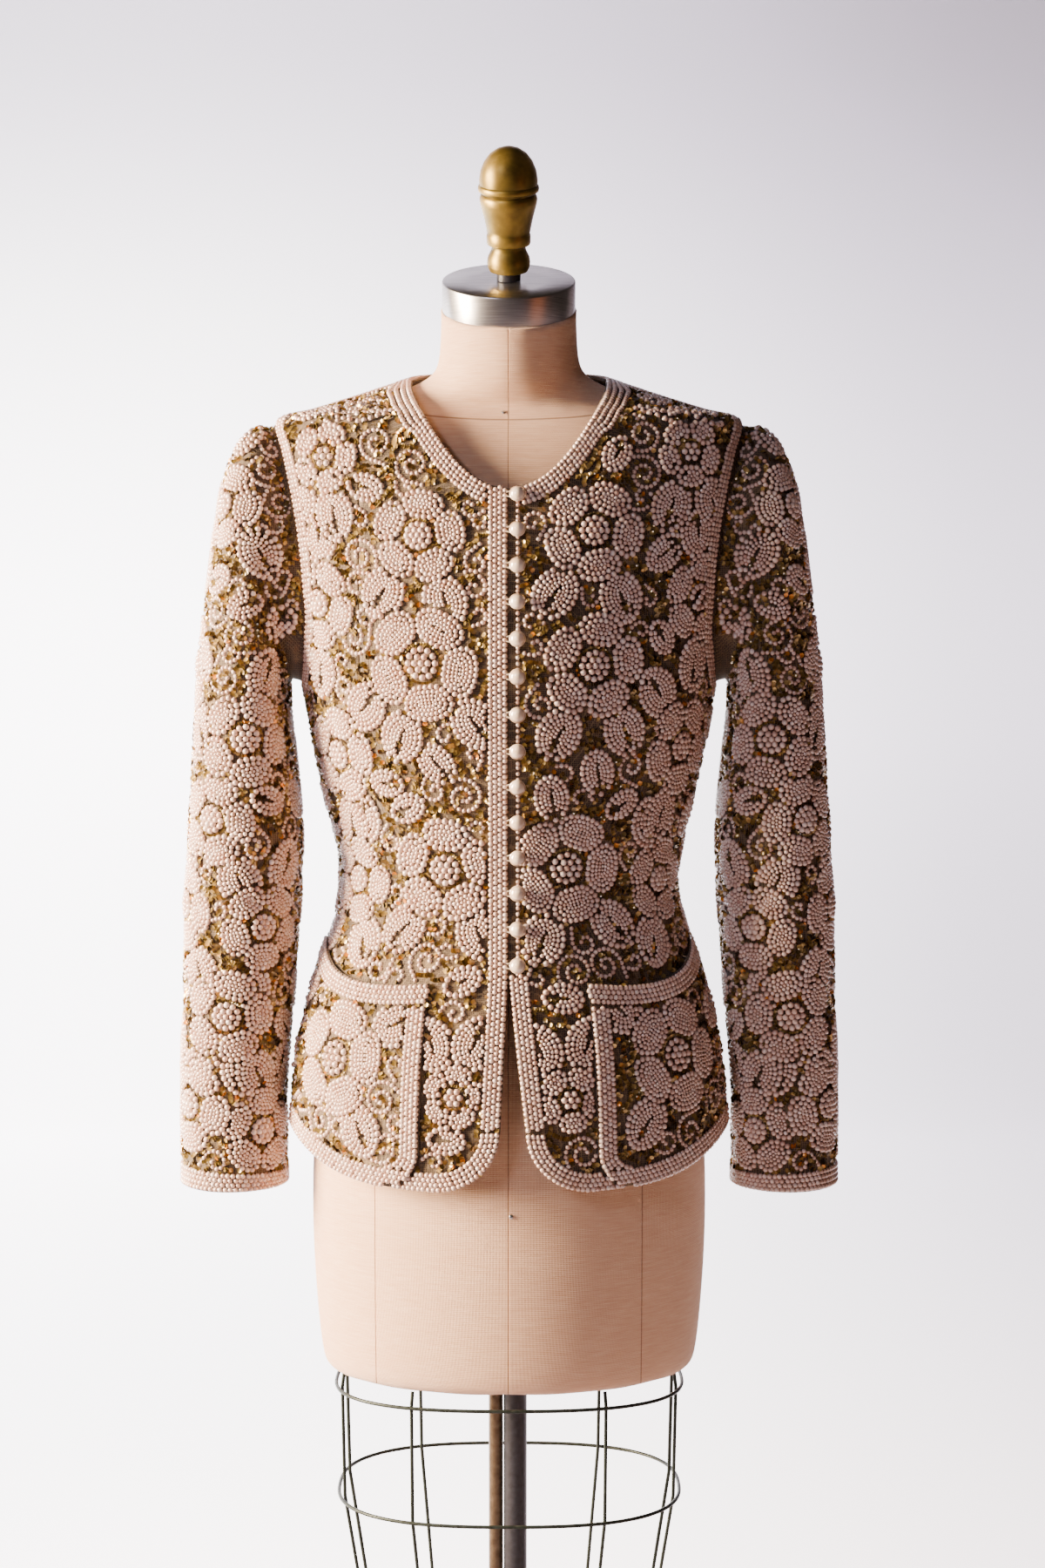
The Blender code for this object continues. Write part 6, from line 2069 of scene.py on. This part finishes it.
def turn_piece(name, profile, place, finish_name, node_name, sides):
    """Turns a piece up from its foot: a disc, drawn up and widened ring by ring."""
    forget_selection()
    first_radius, first_height = profile[0]
    bpy.ops.mesh.primitive_circle_add(
        vertices=sides, radius=first_radius * MM, fill_type="NGON", location=(0.0, 0.0, first_height * MM)
    )
    piece = bpy.context.object
    piece.name = name
    bpy.ops.object.transform_apply(location=True)
    bpy.ops.object.mode_set(mode="EDIT")
    bpy.ops.mesh.select_mode(type="FACE")
    bpy.ops.mesh.select_all(action="SELECT")
    radius, height = first_radius, first_height
    for next_radius, next_height in profile[1:]:
        rise = (0.0, 0.0, (next_height - height) * MM)
        bpy.ops.mesh.extrude_region_move(TRANSFORM_OT_translate={"value": rise})
        scale = next_radius / radius
        bpy.ops.transform.resize(value=(scale, scale, 1.0), center_override=(0.0, 0.0, next_height * MM))
        radius, height = next_radius, next_height
    bpy.ops.mesh.select_all(action="SELECT")
    bpy.ops.mesh.normals_make_consistent(inside=False)
    bpy.ops.object.mode_set(mode="OBJECT")
    piece.data.transform(place)
    piece.data.materials.append(FINISH[finish_name])
    bpy.ops.object.shade_smooth_by_angle(angle=SHARP_ANGLE)
    if node_name:
        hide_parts(node_name)
    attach(piece, "root")
    return piece


def frame_along(origin, direction):
    turn = Vector((0.0, 0.0, 1.0)).rotation_difference(Vector(direction))
    return Matrix.Translation(origin) @ turn.to_matrix().to_4x4()


def node_points(node_name):
    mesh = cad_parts[node_name].data
    points = np.zeros(len(mesh.vertices) * 3)
    mesh.vertices.foreach_get("co", points)
    return points.reshape(-1, 3)


MERGE_DISTANCE = 0.05 * MM
QUAD_ANGLE = math.radians(60)
# The neck's rim reaches this far down from its highest point, and this far off the cap's plane
RIM_DROP = 0.046
RIM_OFF = 0.6 * MM


def make_form():
    """The linen-covered torso: the part's own form, joined up and rounded."""
    forget_selection()
    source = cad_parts["form_torso"]
    cover = bpy.data.objects.new("form_cover", source.data.copy())
    bpy.context.scene.collection.objects.link(cover)
    cover.data.materials.clear()
    cover.data.materials.append(FINISH["linen"])
    bpy.context.view_layer.objects.active = cover
    cover.select_set(True)
    bpy.ops.object.mode_set(mode="EDIT")
    bpy.ops.mesh.select_all(action="SELECT")
    bpy.ops.mesh.remove_doubles(threshold=MERGE_DISTANCE)
    bpy.ops.mesh.tris_convert_to_quads(face_threshold=QUAD_ANGLE, shape_threshold=QUAD_ANGLE)
    bpy.ops.mesh.select_all(action="DESELECT")
    bpy.ops.object.mode_set(mode="OBJECT")
    crease = cover.data.attributes.new("crease_edge", "FLOAT", "EDGE")
    heights = [vertex.co.z for vertex in cover.data.vertices]
    top = max(heights)
    flat_top = [edge.index for edge in cover.data.edges if neck_rim(edge, cover.data, top)]
    for index in flat_top:
        crease.data[index].value = 1.0
    smooth = cover.modifiers.new("rounding", "SUBSURF")
    smooth.levels = 2
    smooth.render_levels = 2
    bpy.ops.object.modifier_apply(modifier="rounding")
    cover.data.shade_smooth()
    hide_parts("form_torso")
    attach(cover, "root")
    return cover


def neck_rim(edge, mesh, top):
    """Edges round the neck's flat top, where two faces meet sharply."""
    ends = [mesh.vertices[corner].co for corner in edge.vertices]
    return all(end.z > top - RIM_DROP and abs(cap_plane_distance(end)) < RIM_OFF for end in ends)


def cap_frame():
    """Where the steel cap sits and which way it faces, from its own solid."""
    points = node_points("neck_cap")
    centre = points.mean(axis=0)
    _, _, ways = np.linalg.svd(points - centre)
    up = ways[2] * np.sign(ways[2][2])
    low = ((points - centre) @ up).min()
    return Vector(centre + up * low), Vector(up)


CAP_SEAT, CAP_UP = cap_frame()


def cap_plane_distance(point):
    return (Vector(point) - CAP_SEAT).dot(CAP_UP) + SEAM_GAP


def make_neck_top():
    turn_piece("steel_cap", CAP_PROFILE, frame_along(CAP_SEAT, CAP_UP), "steel", "neck_cap", 96)
    stem_place = frame_along(CAP_SEAT + CAP_UP * (CAP_HEIGHT + SEAM_GAP), CAP_UP)
    turn_piece("stem", STEM_PROFILE, stem_place, "charcoal", "finial_stem", 40)
    finial_seat = CAP_SEAT + CAP_UP * (CAP_HEIGHT + STEM_HEIGHT + 2 * SEAM_GAP)
    finial_place = frame_along(finial_seat, CAP_UP)
    turn_piece("gold_finial", FINIAL_PROFILE, finial_place, "gold", "finial", 56)


def make_stand():
    turn_piece("iron_base", BASE_PROFILE, Matrix.Identity(4), "iron", "base", 96)
    pole = ((POLE_RADIUS, POLE_BOTTOM), (POLE_RADIUS, POLE_TOP))
    pole_place = Matrix.Translation((POLE_X, 0, 0))
    turn_piece("steel_pole", pole, pole_place, "charcoal", "pole", 32)
    tube = ((TUBE_RADIUS, POLE_BOTTOM), (TUBE_RADIUS, POLE_TOP))
    tube_place = Matrix.Translation((TUBE_X, TUBE_Y, 0))
    turn_piece("bronze_tube", tube, tube_place, "bronze", "inner_tube", 28)


def wire_along(name, route, closed, radius, finish_name, node_name=None):
    """A round wire bent along a route of points."""
    curve = bpy.data.curves.new(name, "CURVE")
    curve.dimensions = "3D"
    curve.bevel_depth = radius
    curve.bevel_resolution = 2
    curve.use_fill_caps = True
    line = curve.splines.new("POLY")
    line.points.add(len(route) - 1)
    for point, place in zip(line.points, route):
        point.co = (*place, 1.0)
    line.use_cyclic_u = closed
    piece = bpy.data.objects.new(name, curve)
    bpy.context.scene.collection.objects.link(piece)
    forget_selection()
    bpy.context.view_layer.objects.active = piece
    piece.select_set(True)
    bpy.ops.object.convert(target="MESH")
    piece = bpy.context.object
    piece.data.shade_smooth()
    piece.data.materials.clear()
    piece.data.materials.append(FINISH[finish_name])
    if node_name:
        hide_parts(node_name)
    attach(piece, "root")
    return piece


def cage_point(half_width, half_depth, turn):
    power = 2.0 / CAGE_SQUARENESS
    x = half_width * math.copysign(abs(math.sin(turn)) ** power, math.sin(turn))
    y = -half_depth * math.copysign(abs(math.cos(turn)) ** power, math.cos(turn))
    return x, y


def make_cage():
    for number, (height, half_width, half_depth) in enumerate(CAGE_RINGS, start=1):
        turns = [2 * math.pi * step / HOOP_POINTS for step in range(HOOP_POINTS)]
        route = [(*cage_point(half_width, half_depth, turn), height) for turn in turns]
        wire_along(f"hoop_{number}", route, True, WIRE_RADIUS, "wire", f"cage_hoop_{number}")
    levels = [CAGE_TOP, *CAGE_RINGS]
    for number, angle in enumerate(CAGE_WIRE_ANGLES, start=1):
        turn = math.radians(angle)
        route = []
        for height, half_width, half_depth in levels:
            inside = (half_width - CAGE_WIRE_INSET, half_depth - CAGE_WIRE_INSET)
            route.append((*cage_point(*inside, turn), height))
        route[-1] = (route[-1][0], route[-1][1], route[-1][2] - 2 * WIRE_RADIUS)
        node_name = f"cage_wire_{number}"
        wire_along(f"upright_{number}", route, False, WIRE_RADIUS, "wire", node_name)


# Buttons and their loops


def button_places():
    rings = rings_between(BUTTON_TOP, BUTTON_BOTTOM)
    track = np.stack([angle_at_x(BUTTON_X, rings), rings])
    return spread(track, even(BUTTON_COUNT - 1))


# A loop's cord, how it lies round its button, and where its two ends go into the other edge
LOOP_THREAD = 0.55 * MM
LOOP_LIFT = 0.1 * MM
LOOP_REACH = 5.2 * MM
LOOP_HALF_HEIGHT = 3.6 * MM
LOOP_STEPS = 16
LOOP_END_PAST = 1.5 * MM
LOOP_END_APART = 1.6 * MM


def make_buttons():
    """Fourteen domed pearl buttons, each held by a fine cord loop from the other edge."""
    places = button_places()
    points, normals = body_point(places[0], places[1]), body_normal(places[0], places[1])
    for number, (point, normal) in enumerate(zip(points, normals), start=1):
        normal = Vector(normal)
        place = frame_along(Vector(point) + normal * BUTTON_SEAT, normal)
        name = f"button_{number:02d}"
        turn_piece(f"pearl_{name}", BUTTON_PROFILE, place, "button", name, 28)
        loop = []
        across = Vector((1.0, 0.0, 0.0))
        up = normal.cross(across).normalized()
        base = Vector(point) + normal * (BUTTON_SEAT + LOOP_LIFT)
        for step in range(LOOP_STEPS + 1):
            turn = math.pi * (step / LOOP_STEPS - 0.5)
            reach = across * math.cos(turn) * LOOP_REACH + up * math.sin(turn) * LOOP_HALF_HEIGHT
            loop.append(base + reach)
        edge = Vector((-BUTTON_X - LOOP_END_PAST, 0.0, 0.0))
        loop.insert(0, base + edge - up * LOOP_END_APART)
        loop.append(base + edge + up * LOOP_END_APART)
        wire_along(f"loop_{number:02d}", loop, False, LOOP_THREAD, "thread")


PIN_PLACES = ((-0.004, 1.3555), (0.002, 0.7245))
PIN_PROFILE = ((1.0, -0.2), (1.7, 0.1), (1.75, 0.5), (1.3, 0.9), (0.5, 1.1))
BEFORE_FORM = -0.4


def make_pins():
    """Two steel pins that hold the linen, one at the neck's seam and one below the hem."""
    cover = bpy.data.objects["form_cover"]
    for number, (x, z) in enumerate(PIN_PLACES, start=1):
        _, spot, normal, _ = cover.ray_cast(Vector((x, BEFORE_FORM, z)), Vector((0.0, 1.0, 0.0)))
        turn_piece(f"pin_{number}", PIN_PROFILE, frame_along(spot, normal), "steel", None, 20)


def declare_cloth(beads):
    """Goes over the flat cut of each piece of cloth and the beads sewn on it, but states nothing."""
    for piece, flat, area, rests_on in CLOTH_CUTS:
        group = piece.name.removeprefix("cloth_")
        sewn_on = beads.get(group, [])
        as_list(rests_on)
        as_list(sewn_on)


make_camera()
make_lights()
make_sweep()
make_form()
make_neck_top()
make_stand()
make_cage()
make_panels()
make_sleeves()
make_pockets()
make_buttons()
make_pins()
declare_cloth(make_beadwork())
